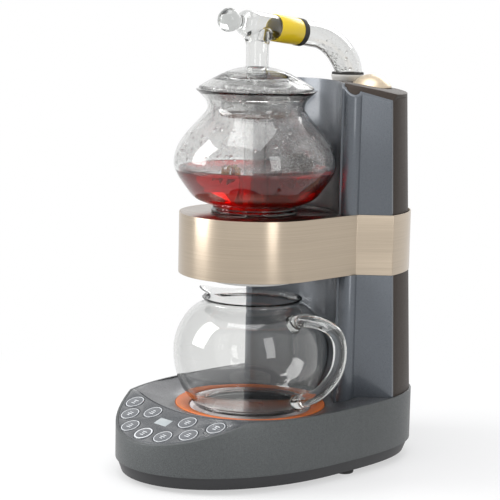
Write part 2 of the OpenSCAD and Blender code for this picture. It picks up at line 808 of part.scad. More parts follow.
module socket_gasket() color([0.06, 0.06, 0.06]) placed() translate([0, socket_y, 0])
    rotate_extrude($fn = 96) polygon([[arm_end_r + gap, socket_seat_z + socket_h],
        [arm_end_r + 1.8, socket_seat_z + socket_h],
        [arm_end_r + 1.8, socket_seat_z + socket_h + 1.6],
        [arm_end_r + 1.2, socket_seat_z + socket_h + 2],
        [arm_end_r + gap, socket_seat_z + socket_h + 2]]);

cap_z = cap_seat_z + gap;
cap_rise = 10.5;
cap_skirt = 1.2;
cap_ball_r = (cap_r * cap_r + cap_rise * cap_rise) / (2 * cap_rise);
cap_plug_r = neck_in_r - 1.6;
cap_plug_h = 9;

module filler_cap() color(steel) placed() translate([filler_x, filler_y, cap_z]) difference() {
    union() {
        cylinder(r = cap_r, h = cap_skirt, $fn = 96);
        translate([0, 0, cap_skirt]) intersection() {
            translate([0, 0, cap_rise - cap_ball_r]) sphere(r = cap_ball_r, $fn = 128);
            cylinder(r = cap_r, h = cap_rise + 1, $fn = 96);
        }
        translate([0, 0, -cap_plug_h]) cylinder(r = cap_plug_r, h = cap_plug_h + 1, $fn = 72);
    }
    difference() {
        translate([0, 0, -eps]) cylinder(r = neck_in_r + neck_wall + gap,
            h = neck_top - cap_z + gap + eps, $fn = 72);
        translate([0, 0, -1]) cylinder(r = cap_plug_r, h = 12, $fn = 72);
    }
}

module filler_cap_seal() color([0.75, 0.2, 0.12]) placed()
    translate([filler_x, filler_y, cap_z - 6]) difference() {
        cylinder(r = neck_in_r - gap, h = 3, $fn = 72);
        translate([0, 0, -eps]) cylinder(r = cap_plug_r, h = 4, $fn = 72);
    }

// ---- brewing pot ----

pot_floor = 4;

// Outside of the pot from its foot to its rim
pot_outer = curve([[pot_foot_r + 0.2, 0.022 * pot_h],
    [pot_foot_r - 0.7, 0.053 * pot_h], [pot_r * 0.634, 0.084 * pot_h],
    [pot_r * 0.757, 0.125 * pot_h], [pot_r * 0.888, 0.235 * pot_h],
    [pot_r * 0.97, 0.325 * pot_h], [pot_r, 0.405 * pot_h], [pot_r * 0.961, 0.527 * pot_h],
    [pot_r * 0.852, 0.641 * pot_h], [pot_neck_r * 1.155, 0.756 * pot_h],
    [pot_neck_r * 1.015, 0.823 * pot_h], [pot_neck_r * 0.987, 0.868 * pot_h],
    [pot_neck_r * 1.03, 0.914 * pot_h], [pot_rim_r - 4, pot_h - 4],
    [pot_rim_r, pot_h]], 4);
pot_inner = [for (q = beside(pot_outer, pot_wall))
    if (q[1] > pot_floor + 2 && q[1] < pot_h - 0.2) q];

module upper_pot() color(glass) placed() translate([0, 0, pot_z]) rotate_extrude($fn = 120)
    polygon(concat([[drain_r + 1, 0], [drain_r + 1, pot_floor], [pot_foot_r - 6, pot_floor]],
        pot_inner, [[pot_rim_r - pot_wall * root2 + 0.2, pot_h]],
        reversed(pot_outer), [[pot_foot_r, 0], [pot_foot_r - 4, 0],
        [pot_foot_r - 5, 1], [drain_r + 3, 1], [drain_r + 3, 0]]));

stopper_h = 4;

module pot_stopper() color([0.85, 0.85, 0.84]) placed()
    translate([0, 0, pot_z + pot_floor]) rotate_extrude($fn = 60)
    polygon([[0, gap - pot_floor], [drain_r + 1 - gap, gap - pot_floor],
        [drain_r + 1 - gap, gap], [drain_r + 3, gap], [drain_r + 3, gap + 1],
        [drain_r - 2, stopper_h], [0, stopper_h]]);

// The strainer leaves the lifted stopper free under its roof
strainer_r = 17;
strainer_t = 0.8;
strainer_h = stopper_h + stopper_travel + strainer_t + 5.2;

module drain_strainer() color([0.75, 0.75, 0.73]) placed()
    translate([0, 0, pot_z + pot_floor]) difference() {
        cylinder(r = strainer_r, h = strainer_h, $fn = 90);
        translate([0, 0, -eps])
            cylinder(r = strainer_r - strainer_t, h = strainer_h - strainer_t + eps, $fn = 90);
        for (a = [0 : 15 : 345]) rotate([0, 0, a]) translate([strainer_r - 3, -1, 2])
            cube([6, 2, strainer_h - 5]);
        for (x = [-12 : 4 : 12]) translate([x - 0.9, -9, strainer_h - 2]) cube([1.8, 18, 4]);
    }

// ---- lid ----

skirt_r = 30;
skirt_wall = 2;
skirt_low = pot_h - 20;
// Outside of the lid from its edge down in the pot's flare, over the rim and up the dome
lid_outer = curve([[pot_rim_r - 10.4, pot_h - 7.1], [pot_rim_r - 6.6, pot_h - 2.9],
    [pot_rim_r - 3.4, pot_h + 0.5], [pot_rim_r - 2.8, pot_h + 2],
    [pot_rim_r - 5.3, pot_h + 3.9], [39.6, pot_h + 7.9], [28, pot_h + 14], [18, pot_h + 17.7],
    [arm_r + tube_gap, pot_h + 19.2]], 4);

module lid() color(glass) placed() translate([0, 0, pot_z]) {
    rotate_extrude($fn = 120) polygon(concat(lid_outer,
        reversed([for (q = beside(lid_outer, pot_wall)) if (q[0] > arm_r + tube_gap) q])));
    difference() {
        translate([0, 0, skirt_low]) cylinder(r = skirt_r, h = pot_h / 2, $fn = 96);
        translate([0, 0, skirt_low - eps]) cylinder(r = skirt_r - skirt_wall, h = pot_h, $fn = 96);
        rotate_extrude($fn = 120) polygon(concat([for (q = beside(lid_outer, pot_wall / 2))
            if (q[0] > arm_r) q], [[arm_r, 2 * pot_h], [2 * pot_rim_r, 2 * pot_h],
            [2 * pot_rim_r, pot_h]]));
    }
}

module lid_seal() color([0.42, 0.26, 0.13]) placed()
    translate([0, 0, pot_z + skirt_low - 3.6]) rotate_extrude($fn = 96)
    polygon([[skirt_r - 2.6, 0], [skirt_r, 0], [skirt_r + 0.6, 1], [skirt_r + 0.6, 3],
        [skirt_r, 3.6], [skirt_r - 2.6, 3.6]]);

// ---- steam arm ----

arm_z = pot_top + arm_rise;
arm_low = pot_z + pot_floor + strainer_h + 4;
// The arm's centre line: sloping tube, wide bend, short flare, tight turn, upright end
flare_l = 3;
flare_y = socket_y - arm_turn_r * (1 - sin(arm_turn_at)) - flare_l * cos(arm_turn_at);
bend_y = flare_y - arm_bend_r * (sin(arm_turn_at) - sin(arm_tilt));
flare_z = arm_z - bend_y * tan(arm_tilt) - arm_bend_r * (cos(arm_tilt) - cos(arm_turn_at));
turn_z = flare_z - flare_l * sin(arm_turn_at) - arm_turn_r * cos(arm_turn_at);
// Each tube slips this far into the next, which is wider by the melt
overlap = 0.3;
melt = 0.05;
cross_end = bend_y / cos(arm_tilt) + overlap;
cross_start = -17;
ball_at = -33.5;

// Places its children on the sloping tube, z along it to the back
module on_cross() translate([0, 0, arm_z]) rotate([-arm_tilt, 0, 0]) rotate([-90, 0, 0])
    children();

// The arm's tubes at wall depth t: 0 for the outside, arm_wall for the bore
module arm_tubes(t) {
    low = t > 0 ? eps : 0;
    translate([0, 0, arm_low - low])
        cylinder(r = arm_r - t, h = arm_z - arm_low + low, $fn = 72);
    on_cross() translate([0, 0, cross_start + t])
        cylinder(r = arm_cross_r - t, h = cross_end - cross_start - t, $fn = 72);
    translate([0, flare_y - arm_bend_r * sin(arm_turn_at),
        flare_z - arm_bend_r * cos(arm_turn_at)])
        arm_turn(arm_bend_r, arm_turn_at, arm_tilt, arm_cross_r + melt - t);
    translate([0, flare_y, flare_z]) rotate([-90 - arm_turn_at, 0, 0])
        translate([0, 0, -overlap])
        cylinder(r1 = arm_cross_r + 2 * melt - t, r2 = arm_end_r - 2 * melt - t,
            h = flare_l + 2 * overlap, $fn = 72);
    translate([0, socket_y - arm_turn_r, turn_z])
        arm_turn(arm_turn_r, 90, arm_turn_at, arm_end_r - melt - t);
    translate([0, socket_y, arm_end_z - low])
        cylinder(r = arm_end_r - t, h = turn_z + overlap - arm_end_z + low, $fn = 72);
}

// A bend in the plane of the arm round the origin, from one slope of the tube to another
module arm_turn(bend_r, steep, shallow, tube_r) rotate([90, 0, 90])
    rotate([0, 0, 90 - steep]) rotate_extrude(angle = steep - shallow, $fn = 120)
    translate([bend_r, 0]) circle(r = tube_r, $fn = 72);

module glass_arm() color(glass) placed() {
    difference() {
        arm_tubes(0);
        arm_tubes(arm_wall);
    }
    on_cross() {
        translate([0, 0, cross_start - 2]) cylinder(r = 9, h = 2.6, $fn = 60);
        translate([0, 0, ball_at]) cylinder(r = 5.5, h = cross_start - ball_at, $fn = 48);
        translate([0, 0, ball_at]) sphere(r = ball_r, $fn = 72);
    }
}

sleeve_from = 18.5;
sleeve_to = 46;
sleeve_ring_w = 5.5;

module arm_sleeve() color([0.98, 0.85, 0.05]) placed() on_cross()
    translate([0, 0, sleeve_from]) difference() {
        cylinder(r = arm_cross_r + 0.6, h = sleeve_to - sleeve_from, $fn = 72);
        translate([0, 0, -eps]) cylinder(r = arm_cross_r + melt, h = sleeve_to, $fn = 72);
    }

module arm_sleeve_ring() color([0.08, 0.06, 0.06]) placed() on_cross()
    translate([0, 0, sleeve_to]) difference() {
        cylinder(r = arm_cross_r + 0.9, h = sleeve_ring_w, $fn = 72);
        translate([0, 0, -eps]) cylinder(r = arm_cross_r + melt, h = sleeve_to, $fn = 72);
    }

// ---- serving cup ----

cup_foot_r = 44;
cup_floor = 3.6;
cup_outer = curve([[cup_foot_r, 0], [cup_foot_r + 4.6, 1.4], [cup_r * 0.775, 0.07 * cup_h],
    [cup_r * 0.88, 0.165 * cup_h], [cup_r * 0.965, 0.31 * cup_h], [cup_r, 0.5 * cup_h],
    [cup_r * 0.972, 0.66 * cup_h], [cup_r * 0.875, 0.81 * cup_h],
    [cup_rim_r * 1.2, 0.908 * cup_h], [cup_rim_r * 1.02, 0.955 * cup_h],
    [cup_rim_r * 0.995, 0.98 * cup_h], [cup_rim_r * 1.03, cup_h]], 4);
cup_inner = [for (q = beside(cup_outer, cup_wall)) if (q[1] > cup_floor + 1) q];

// Centre line of the handle, from the shoulder out and down to the foot
handle_path = curve([[cup_r * 0.76, 0.825 * cup_h], [cup_r * 0.95, 0.885 * cup_h],
    [handle_reach - 25, 0.888 * cup_h], [handle_reach - 11, 0.83 * cup_h],
    [handle_reach - handle_r, 0.7 * cup_h], [handle_reach - 8, 0.52 * cup_h],
    [handle_reach - 18, 0.36 * cup_h], [handle_reach - 33, 0.23 * cup_h],
    [cup_r * 0.83, 0.13 * cup_h]], 4);

module spout_form(shrink) hull() {
    translate([-cup_rim_r + 6, 0, 0.86 * cup_h]) cylinder(r = 11 - shrink, h = 0.14 * cup_h, $fn = 32);
    translate([-spout_reach + 4, 0, cup_h - 2.6 + shrink])
        cylinder(r = 3.4 - shrink, h = 4.4 - shrink, $fn = 24);
}

module serving_cup() color(glass) placed() translate([0, 0, cup_z]) {
    difference() {
        union() {
            rotate_extrude($fn = 120) polygon(concat([[0, 0]], cup_outer, [[0, cup_h]]));
            spout_form(0);
            rod(handle_path, handle_r);
        }
        rotate_extrude($fn = 120) polygon(concat([[0, cup_floor],
            [cup_foot_r - 4, cup_floor]], cup_inner,
            [[cup_rim_r * 1.03 - cup_wall, cup_h + 5], [0, cup_h + 5]]));
        translate([0, 0, 2]) spout_form(1.4);
    }
}

base_housing();
bottom_cover();
feet();
base_screws();
base_top_plate();
seat_ring();
warming_plate();
plate_heater();
plate_thermostat();
control_panel();
display_window();
control_board();
button_1();
button_2();
button_3();
button_4();
button_5();
button_6();
button_7();
button_8();
button_9();
power_board();
mains_inlet();
column_front_lower();
column_front_upper();
column_rear_cover();
column_top_cover();
steel_band();
platform_top_plate();
platform_body();
platform_bottom_cover();
drip_outlet();
drain_funnel();
valve_coil();
pot_seat_ring();
boiler();
boiler_heater();
boiler_thermostat();
boiler_bracket();
steam_pipe();
steam_socket();
socket_gasket();
filler_cap();
filler_cap_seal();
upper_pot();
pot_stopper();
drain_strainer();
lid();
lid_seal();
glass_arm();
arm_sleeve();
arm_sleeve_ring();
serving_cup();
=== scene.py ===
import math
import random

import bmesh
import bpy
from mathutils import Matrix, Vector


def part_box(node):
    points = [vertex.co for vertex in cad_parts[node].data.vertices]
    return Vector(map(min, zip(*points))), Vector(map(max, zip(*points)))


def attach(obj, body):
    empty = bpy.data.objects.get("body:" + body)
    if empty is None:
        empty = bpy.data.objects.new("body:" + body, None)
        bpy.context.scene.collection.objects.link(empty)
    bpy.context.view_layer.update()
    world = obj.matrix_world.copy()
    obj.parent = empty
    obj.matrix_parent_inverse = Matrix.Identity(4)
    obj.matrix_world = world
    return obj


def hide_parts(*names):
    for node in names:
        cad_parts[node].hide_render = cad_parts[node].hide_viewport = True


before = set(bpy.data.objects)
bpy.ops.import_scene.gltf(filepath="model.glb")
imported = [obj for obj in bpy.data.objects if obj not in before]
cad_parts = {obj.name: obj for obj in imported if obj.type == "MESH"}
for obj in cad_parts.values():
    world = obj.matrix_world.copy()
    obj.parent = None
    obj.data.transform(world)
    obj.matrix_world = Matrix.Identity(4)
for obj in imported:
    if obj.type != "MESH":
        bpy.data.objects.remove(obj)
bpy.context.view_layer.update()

# Studio. The camera stands where the photograph was taken, at the front right and a little
# above the pot's rim. Four large soft lamps stand round a pale floor.
seat_low, seat_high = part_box("seat_ring")
AXIS_X = (seat_low.x + seat_high.x) / 2
AXIS_Y = (seat_low.y + seat_high.y) / 2


def at(x, y, z):
    """A point given in millimetres from the brewing axis and the table."""
    return Vector((AXIS_X + x / 1000, AXIS_Y + y / 1000, z / 1000))


camera = bpy.data.objects.new("camera", bpy.data.cameras.new("camera"))
bpy.context.scene.collection.objects.link(camera)
camera.data.lens = 126.4
camera.data.sensor_width = 36
camera_away, camera_high = 1493, 416
camera_side = math.radians(46.2)
camera.matrix_world = (
    Matrix.Translation(at(camera_away * math.sin(camera_side),
                          -camera_away * math.cos(camera_side), camera_high))
    @ Matrix.Rotation(math.radians(46.307), 4, "Z")
    @ Matrix.Rotation(math.radians(90 - 8.74), 4, "X")
    @ Matrix.Rotation(math.radians(1.22), 4, "Z"))
bpy.context.scene.camera = camera


def soft_lamp(name, place, size, power):
    """A rectangular lamp, in metres and watts, turned towards the platform."""
    lamp = bpy.data.objects.new(name, bpy.data.lights.new(name, "AREA"))
    bpy.context.scene.collection.objects.link(lamp)
    lamp.data.shape = "RECTANGLE"
    lamp.data.size, lamp.data.size_y = size
    lamp.data.energy = power
    lamp.location = place
    lamp.rotation_euler = (at(0, 20, 190) - Vector(place)).to_track_quat("-Z", "Y").to_euler()


soft_lamp("lamp_left", (-1.15, -1.35, 1.05), (0.9, 1.5), 30)
soft_lamp("lamp_right", (1.9, -0.5, 0.85), (0.5, 1.4), 8)
soft_lamp("lamp_top", (0.1, -0.3, 1.9), (1.3, 1.3), 17)
soft_lamp("lamp_back", (-0.5, 1.6, 1.2), (1.2, 0.8), 9)


def shows_background(tree):
    """Light Path's camera, glossy and transmission rays added up, from 0 to 1."""
    path = tree.nodes.new("ShaderNodeLightPath")
    first = tree.nodes.new("ShaderNodeMath")
    second = tree.nodes.new("ShaderNodeMath")
    second.use_clamp = True
    tree.links.new(path.outputs["Is Camera Ray"], first.inputs[0])
    tree.links.new(path.outputs["Is Glossy Ray"], first.inputs[1])
    tree.links.new(first.outputs[0], second.inputs[0])
    tree.links.new(path.outputs["Is Transmission Ray"], second.inputs[1])
    return second.outputs[0]


world = bpy.data.worlds.new("studio")
bpy.context.scene.world = world
world.use_nodes = True
room_tree = world.node_tree
ambient = room_tree.nodes["Background"]
ambient.inputs["Color"].default_value = (0.93, 0.95, 1, 1)
ambient.inputs["Strength"].default_value = 0.42
white_room = room_tree.nodes.new("ShaderNodeBackground")
white_room.inputs["Color"].default_value = (1, 1, 1, 1)
seen = room_tree.nodes.new("ShaderNodeMixShader")
room_tree.links.new(shows_background(room_tree), seen.inputs["Fac"])
room_tree.links.new(ambient.outputs[0], seen.inputs[1])
room_tree.links.new(white_room.outputs[0], seen.inputs[2])
room_tree.links.new(seen.outputs[0], room_tree.nodes["World Output"].inputs[0])
bpy.context.scene.view_settings.view_transform = "Standard"

ground = bmesh.new()
bmesh.ops.create_circle(ground, cap_ends=True, segments=64, radius=0.85)
floor = bpy.data.objects.new("floor", bpy.data.meshes.new("floor"))
ground.to_mesh(floor.data)
ground.free()
bpy.context.scene.collection.objects.link(floor)
pale = bpy.data.materials.new("pale floor")
pale.use_nodes = True
floor_tree = pale.node_tree
paint = floor_tree.nodes["Principled BSDF"]
paint.inputs["Base Color"].default_value = (0.86, 0.86, 0.86, 1)
paint.inputs["Roughness"].default_value = 0.9
lit = floor_tree.nodes.new("ShaderNodeEmission")
spot = floor_tree.nodes.new("ShaderNodeTexCoord")
far_off = floor_tree.nodes.new("ShaderNodeVectorMath")
far_off.operation = "LENGTH"
floor_tree.links.new(spot.outputs["Object"], far_off.inputs[0])
# The floor turns into the white background between 0.16 and 0.5 metres from the middle.
fade = floor_tree.nodes.new("ShaderNodeMapRange")
fade.interpolation_type = "SMOOTHSTEP"
for socket, value in (("From Min", 0.16), ("From Max", 0.5), ("To Min", 0.55), ("To Max", 1)):
    fade.inputs[socket].default_value = value
floor_tree.links.new(far_off.outputs["Value"], fade.inputs["Value"])
share = floor_tree.nodes.new("ShaderNodeMath")
share.operation = "MULTIPLY"
both = floor_tree.nodes.new("ShaderNodeMixShader")
floor_tree.links.new(shows_background(floor_tree), share.inputs[0])
floor_tree.links.new(fade.outputs["Result"], share.inputs[1])
floor_tree.links.new(share.outputs[0], both.inputs["Fac"])
floor_tree.links.new(paint.outputs[0], both.inputs[1])
floor_tree.links.new(lit.outputs[0], both.inputs[2])
floor_tree.links.new(both.outputs[0], floor_tree.nodes["Material Output"].inputs[0])
floor.data.materials.append(pale)

# Base housing. One egg-shaped moulding with a grey metal-flake paint; its upper edge is
# broken by a small radius. It is screwed to the tray under it from below.


def effect_group(name, inputs, outputs):
    """An empty shader node group with its named sockets and its two end nodes."""
    group = bpy.data.node_groups.new(name, "ShaderNodeTree")
    for socket, kind, value in inputs:
        made = group.interface.new_socket(socket, in_out="INPUT", socket_type=kind)
        made.default_value = value
    for socket, kind in outputs:
        group.interface.new_socket(socket, in_out="OUTPUT", socket_type=kind)
    return group, group.nodes.new("NodeGroupInput"), group.nodes.new("NodeGroupOutput")


def math_node(group, operation, first, second, clamp=False):
    """A math node in the group; each operand is a number or another node's output."""
    node = group.nodes.new("ShaderNodeMath")
    node.operation = operation
    node.use_clamp = clamp
    for k, value in enumerate((first, second)):
        if isinstance(value, (int, float)):
            node.inputs[k].default_value = value
        else:
            group.links.new(value, node.inputs[k])
    return node.outputs[0]


def shade(group, colour, factor, target):
    """Hands the colour, made lighter or darker by the factor, to the target socket."""
    toned = group.nodes.new("ShaderNodeVectorMath")
    toned.operation = "SCALE"
    group.links.new(colour, toned.inputs[0])
    group.links.new(factor, toned.inputs["Scale"])
    group.links.new(toned.outputs[0], target)


# Metal flakes: tiny bright and dark cells over a slow drift of the paint's tone.
flake_group, given, result = effect_group("metal flakes", [
    ("Color", "NodeSocketColor", (0.5, 0.5, 0.5, 1)), ("Flake Size", "NodeSocketFloat", 2400),
    ("Contrast", "NodeSocketFloat", 0.5), ("Gloss", "NodeSocketFloat", 0.35)],
    [("Color", "NodeSocketColor"), ("Roughness", "NodeSocketFloat"),
     ("Height", "NodeSocketFloat")])
where = flake_group.nodes.new("ShaderNodeTexCoord").outputs["Object"]
cells = flake_group.nodes.new("ShaderNodeTexVoronoi")
flake_group.links.new(where, cells.inputs["Vector"])
flake_group.links.new(given.outputs["Flake Size"], cells.inputs["Scale"])
cell_tone = flake_group.nodes.new("ShaderNodeSeparateColor")
flake_group.links.new(cells.outputs["Color"], cell_tone.inputs[0])
drift = flake_group.nodes.new("ShaderNodeTexNoise")
drift.inputs["Scale"].default_value = 14
flake_group.links.new(where, drift.inputs["Vector"])
spread = math_node(flake_group, "MULTIPLY", math_node(
    flake_group, "SUBTRACT", cell_tone.outputs[0], 0.45), given.outputs["Contrast"])
tone = math_node(flake_group, "ADD", math_node(flake_group, "ADD", spread, 1), math_node(
    flake_group, "MULTIPLY", math_node(flake_group, "SUBTRACT", drift.outputs["Fac"], 0.5), 0.25))
shade(flake_group, given.outputs["Color"], tone, result.inputs["Color"])
flake_group.links.new(math_node(flake_group, "ADD", given.outputs["Gloss"], math_node(
    flake_group, "MULTIPLY", cell_tone.outputs[1], 0.16), True), result.inputs["Roughness"])
flake_group.links.new(cell_tone.outputs[2], result.inputs["Height"])


def finish_material(name, group=None, values=None, bump=0.0, bump_size=0.0001, **sockets):
    """A Principled material fed by one effect group; sockets are plain values."""
    material = bpy.data.materials.new(name)
    material.use_nodes = True
    tree = material.node_tree
    shader = tree.nodes["Principled BSDF"]
    for socket, value in sockets.items():
        place = shader.inputs[socket.replace("_", " ")]
        place.default_value = (*value, 1) if isinstance(value, tuple) else value
    if group:
        effect = tree.nodes.new("ShaderNodeGroup")
        effect.node_tree = group
        for socket, value in (values or {}).items():
            takes_colour = effect.inputs[socket].type == "RGBA"
            effect.inputs[socket].default_value = (*value, 1) if takes_colour else value
        outputs = {out.name: out for out in effect.outputs}
        tree.links.new(outputs["Color"], shader.inputs["Base Color"])
        if "Roughness" in outputs:
            tree.links.new(outputs["Roughness"], shader.inputs["Roughness"])
        if bump:
            relief = tree.nodes.new("ShaderNodeBump")
            relief.inputs["Strength"].default_value = bump
            relief.inputs["Distance"].default_value = bump_size
            tree.links.new(outputs["Height"], relief.inputs["Height"])
            tree.links.new(relief.outputs["Normal"], shader.inputs["Normal"])
    return material


def keep(shape, name, material, body="frame", stands_for=(), sharp=32):
    """Makes the finished bmesh an object that rides on its body."""
    mesh = bpy.data.meshes.new(name)
    shape.to_mesh(mesh)
    shape.free()
    mesh.polygons.foreach_set("use_smooth", [True] * len(mesh.polygons))
    mesh.set_sharp_from_angle(angle=math.radians(sharp))
    mesh.materials.append(material)
    piece = bpy.data.objects.new(name, mesh)
    bpy.context.scene.collection.objects.link(piece)
    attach(piece, body)
    if stands_for:
        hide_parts(*stands_for)


def solid_copy(node, edge):
    """A merged copy of a node's solid with its sharp edges rounded by a small radius."""
    shape = bmesh.new()
    shape.from_mesh(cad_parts[node].data)
    bmesh.ops.remove_doubles(shape, verts=shape.verts, dist=0.000004)
    bmesh.ops.dissolve_limit(shape, angle_limit=math.radians(0.6), verts=shape.verts,
                             edges=shape.edges)
    sharp_edges = [e for e in shape.edges if e.is_manifold
                   and e.calc_face_angle(0) > math.radians(28)]
    bmesh.ops.bevel(shape, geom=sharp_edges, offset=edge, offset_type="OFFSET", segments=2,
                    profile=0.5, affect="EDGES", material=-1, clamp_overlap=True)
    return shape


flake_grey = finish_material("grey flake paint", flake_group, {
    "Color": (0.083, 0.089, 0.09), "Flake Size": 3400, "Contrast": 0.75, "Gloss": 0.42},
    bump=0.25, bump_size=0.00004, Metallic=0.4, Coat_Weight=0.15, Coat_Roughness=0.25)
keep(solid_copy("base_housing", 0.0006), "base_wall", flake_grey, stands_for=("base_housing",))

# Tray, feet and screws. A black moulded tray closes the base from below and stands on six
# rubber feet; steel screws go up through it into the housing.
grain_group, given, result = effect_group("moulded grain", [
    ("Color", "NodeSocketColor", (0.5, 0.5, 0.5, 1)), ("Scale", "NodeSocketFloat", 900),
    ("Gloss", "NodeSocketFloat", 0.5), ("Variation", "NodeSocketFloat", 0.15)],
    [("Color", "NodeSocketColor"), ("Roughness", "NodeSocketFloat"),
     ("Height", "NodeSocketFloat")])
where = grain_group.nodes.new("ShaderNodeTexCoord").outputs["Object"]
fine = grain_group.nodes.new("ShaderNodeTexNoise")
fine.inputs["Detail"].default_value = 3
grain_group.links.new(where, fine.inputs["Vector"])
grain_group.links.new(given.outputs["Scale"], fine.inputs["Scale"])
slow = grain_group.nodes.new("ShaderNodeTexNoise")
slow.inputs["Scale"].default_value = 22
grain_group.links.new(where, slow.inputs["Vector"])
tone = math_node(grain_group, "ADD", 1, math_node(grain_group, "MULTIPLY", math_node(
    grain_group, "SUBTRACT", slow.outputs["Fac"], 0.5), given.outputs["Variation"]))
shade(grain_group, given.outputs["Color"], tone, result.inputs["Color"])
grain_group.links.new(math_node(grain_group, "ADD", given.outputs["Gloss"], math_node(
    grain_group, "MULTIPLY", math_node(grain_group, "SUBTRACT", slow.outputs["Fac"], 0.5),
    given.outputs["Variation"]), True), result.inputs["Roughness"])
grain_group.links.new(fine.outputs["Fac"], result.inputs["Height"])

black_moulding = finish_material("black moulding", grain_group, {
    "Color": (0.022, 0.022, 0.024), "Scale": 1300, "Gloss": 0.5, "Variation": 0.2},
    bump=0.3, bump_size=0.00008)
foot_rubber = finish_material("foot rubber", grain_group, {
    "Color": (0.03, 0.029, 0.028), "Scale": 700, "Gloss": 0.75, "Variation": 0.3},
    bump=0.4, bump_size=0.0001)
keep(solid_copy("bottom_cover", 0.0004), "tray", black_moulding, stands_for=("bottom_cover",))
keep(solid_copy("feet", 0.0005), "rubber_feet", foot_rubber, stands_for=("feet",))


def dress(node, material):
    """Gives a CAD node that stays as it is its material."""
    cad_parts[node].data.materials.clear()
    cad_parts[node].data.materials.append(material)


brush_group, given, result = effect_group("brushed grain", [
    ("Color", "NodeSocketColor", (0.5, 0.5, 0.5, 1)),
    ("Stretch", "NodeSocketVector", (6, 6, 900)), ("Gloss", "NodeSocketFloat", 0.3),
    ("Contrast", "NodeSocketFloat", 0.3)],
    [("Color", "NodeSocketColor"), ("Roughness", "NodeSocketFloat"),
     ("Height", "NodeSocketFloat")])
where = brush_group.nodes.new("ShaderNodeTexCoord").outputs["Object"]
stretched = brush_group.nodes.new("ShaderNodeVectorMath")
stretched.operation = "MULTIPLY"
brush_group.links.new(where, stretched.inputs[0])
brush_group.links.new(given.outputs["Stretch"], stretched.inputs[1])
lines = brush_group.nodes.new("ShaderNodeTexNoise")
lines.inputs["Scale"].default_value = 1
lines.inputs["Detail"].default_value = 5
lines.inputs["Roughness"].default_value = 0.7
brush_group.links.new(stretched.outputs[0], lines.inputs["Vector"])
offset = math_node(brush_group, "MULTIPLY", math_node(
    brush_group, "SUBTRACT", lines.outputs["Fac"], 0.5), given.outputs["Contrast"])
shade(brush_group, given.outputs["Color"], math_node(brush_group, "ADD", 1, offset),
      result.inputs["Color"])
brush_group.links.new(math_node(brush_group, "ADD", given.outputs["Gloss"], math_node(
    brush_group, "MULTIPLY", offset, 0.5), True), result.inputs["Roughness"])
brush_group.links.new(lines.outputs["Fac"], result.inputs["Height"])

bare_steel = finish_material("bare steel", brush_group, {
    "Color": (0.62, 0.61, 0.59), "Stretch": (700, 20, 20), "Gloss": 0.28, "Contrast": 0.3},
    bump=0.15, bump_size=0.00003, Metallic=1)
dress("base_screws", bare_steel)

# Dished top plate, seat ring and warming plate. The plate is painted metal, the ring orange
# silicone, and the warming plate polished aluminium that the cup stands on.
dish_paint = finish_material("dish paint", flake_group, {
    "Color": (0.085, 0.088, 0.095), "Flake Size": 1700, "Contrast": 0.4, "Gloss": 0.3},
    bump=0.15, bump_size=0.00003, Metallic=0.4, Coat_Weight=0.3, Coat_Roughness=0.15)
keep(solid_copy("base_top_plate", 0.0003), "dished_plate", dish_paint,
     stands_for=("base_top_plate",))
orange_silicone = finish_material("orange silicone", grain_group, {
    "Color": (0.83, 0.2, 0.035), "Scale": 800, "Gloss": 0.42, "Variation": 0.18},
    bump=0.2, bump_size=0.00006, Subsurface_Weight=0.15, Subsurface_Scale=0.002)
keep(solid_copy("seat_ring", 0.0004), "silicone_ring", orange_silicone,
     stands_for=("seat_ring",))
spun_aluminium = finish_material("spun aluminium", grain_group, {
    "Color": (0.84, 0.76, 0.76), "Scale": 90, "Gloss": 0.3, "Variation": 0.35},
    bump=0.5, bump_size=0.0006, Metallic=0.8)
keep(solid_copy("warming_plate", 0.0003), "hot_plate", spun_aluminium,
     stands_for=("warming_plate",))

# Key panel. A glossy dark sheet with nine round keys and a display window. Each key is marked
# by a printed light ring and three short bars in place of words.
panel_gloss = finish_material("panel gloss", flake_group, {
    "Color": (0.07, 0.075, 0.082), "Flake Size": 1900, "Contrast": 0.35, "Gloss": 0.22},
    Metallic=0.2, Coat_Weight=0.5, Coat_Roughness=0.08)
keep(solid_copy("control_panel", 0.00025), "key_panel", panel_gloss,
     stands_for=("control_panel",))
key_gloss = finish_material("key gloss", grain_group, {
    "Color": (0.1, 0.108, 0.12), "Scale": 500, "Gloss": 0.22, "Variation": 0.1},
    Coat_Weight=0.5, Coat_Roughness=0.08)
white_print = finish_material("white print", grain_group, {
    "Color": (0.78, 0.8, 0.82), "Scale": 600, "Gloss": 0.5, "Variation": 0.12})
PANEL_TILT = math.radians(20.6)
panel_low = at(0, -130, 38)


def on_panel(x, s, lift):
    """A point on the key panel: x to the right, s up the slope, lift out of its face."""
    return panel_low + Vector((x, s * math.cos(PANEL_TILT) - lift * math.sin(PANEL_TILT),
                               s * math.sin(PANEL_TILT) + lift * math.cos(PANEL_TILT))) / 1000


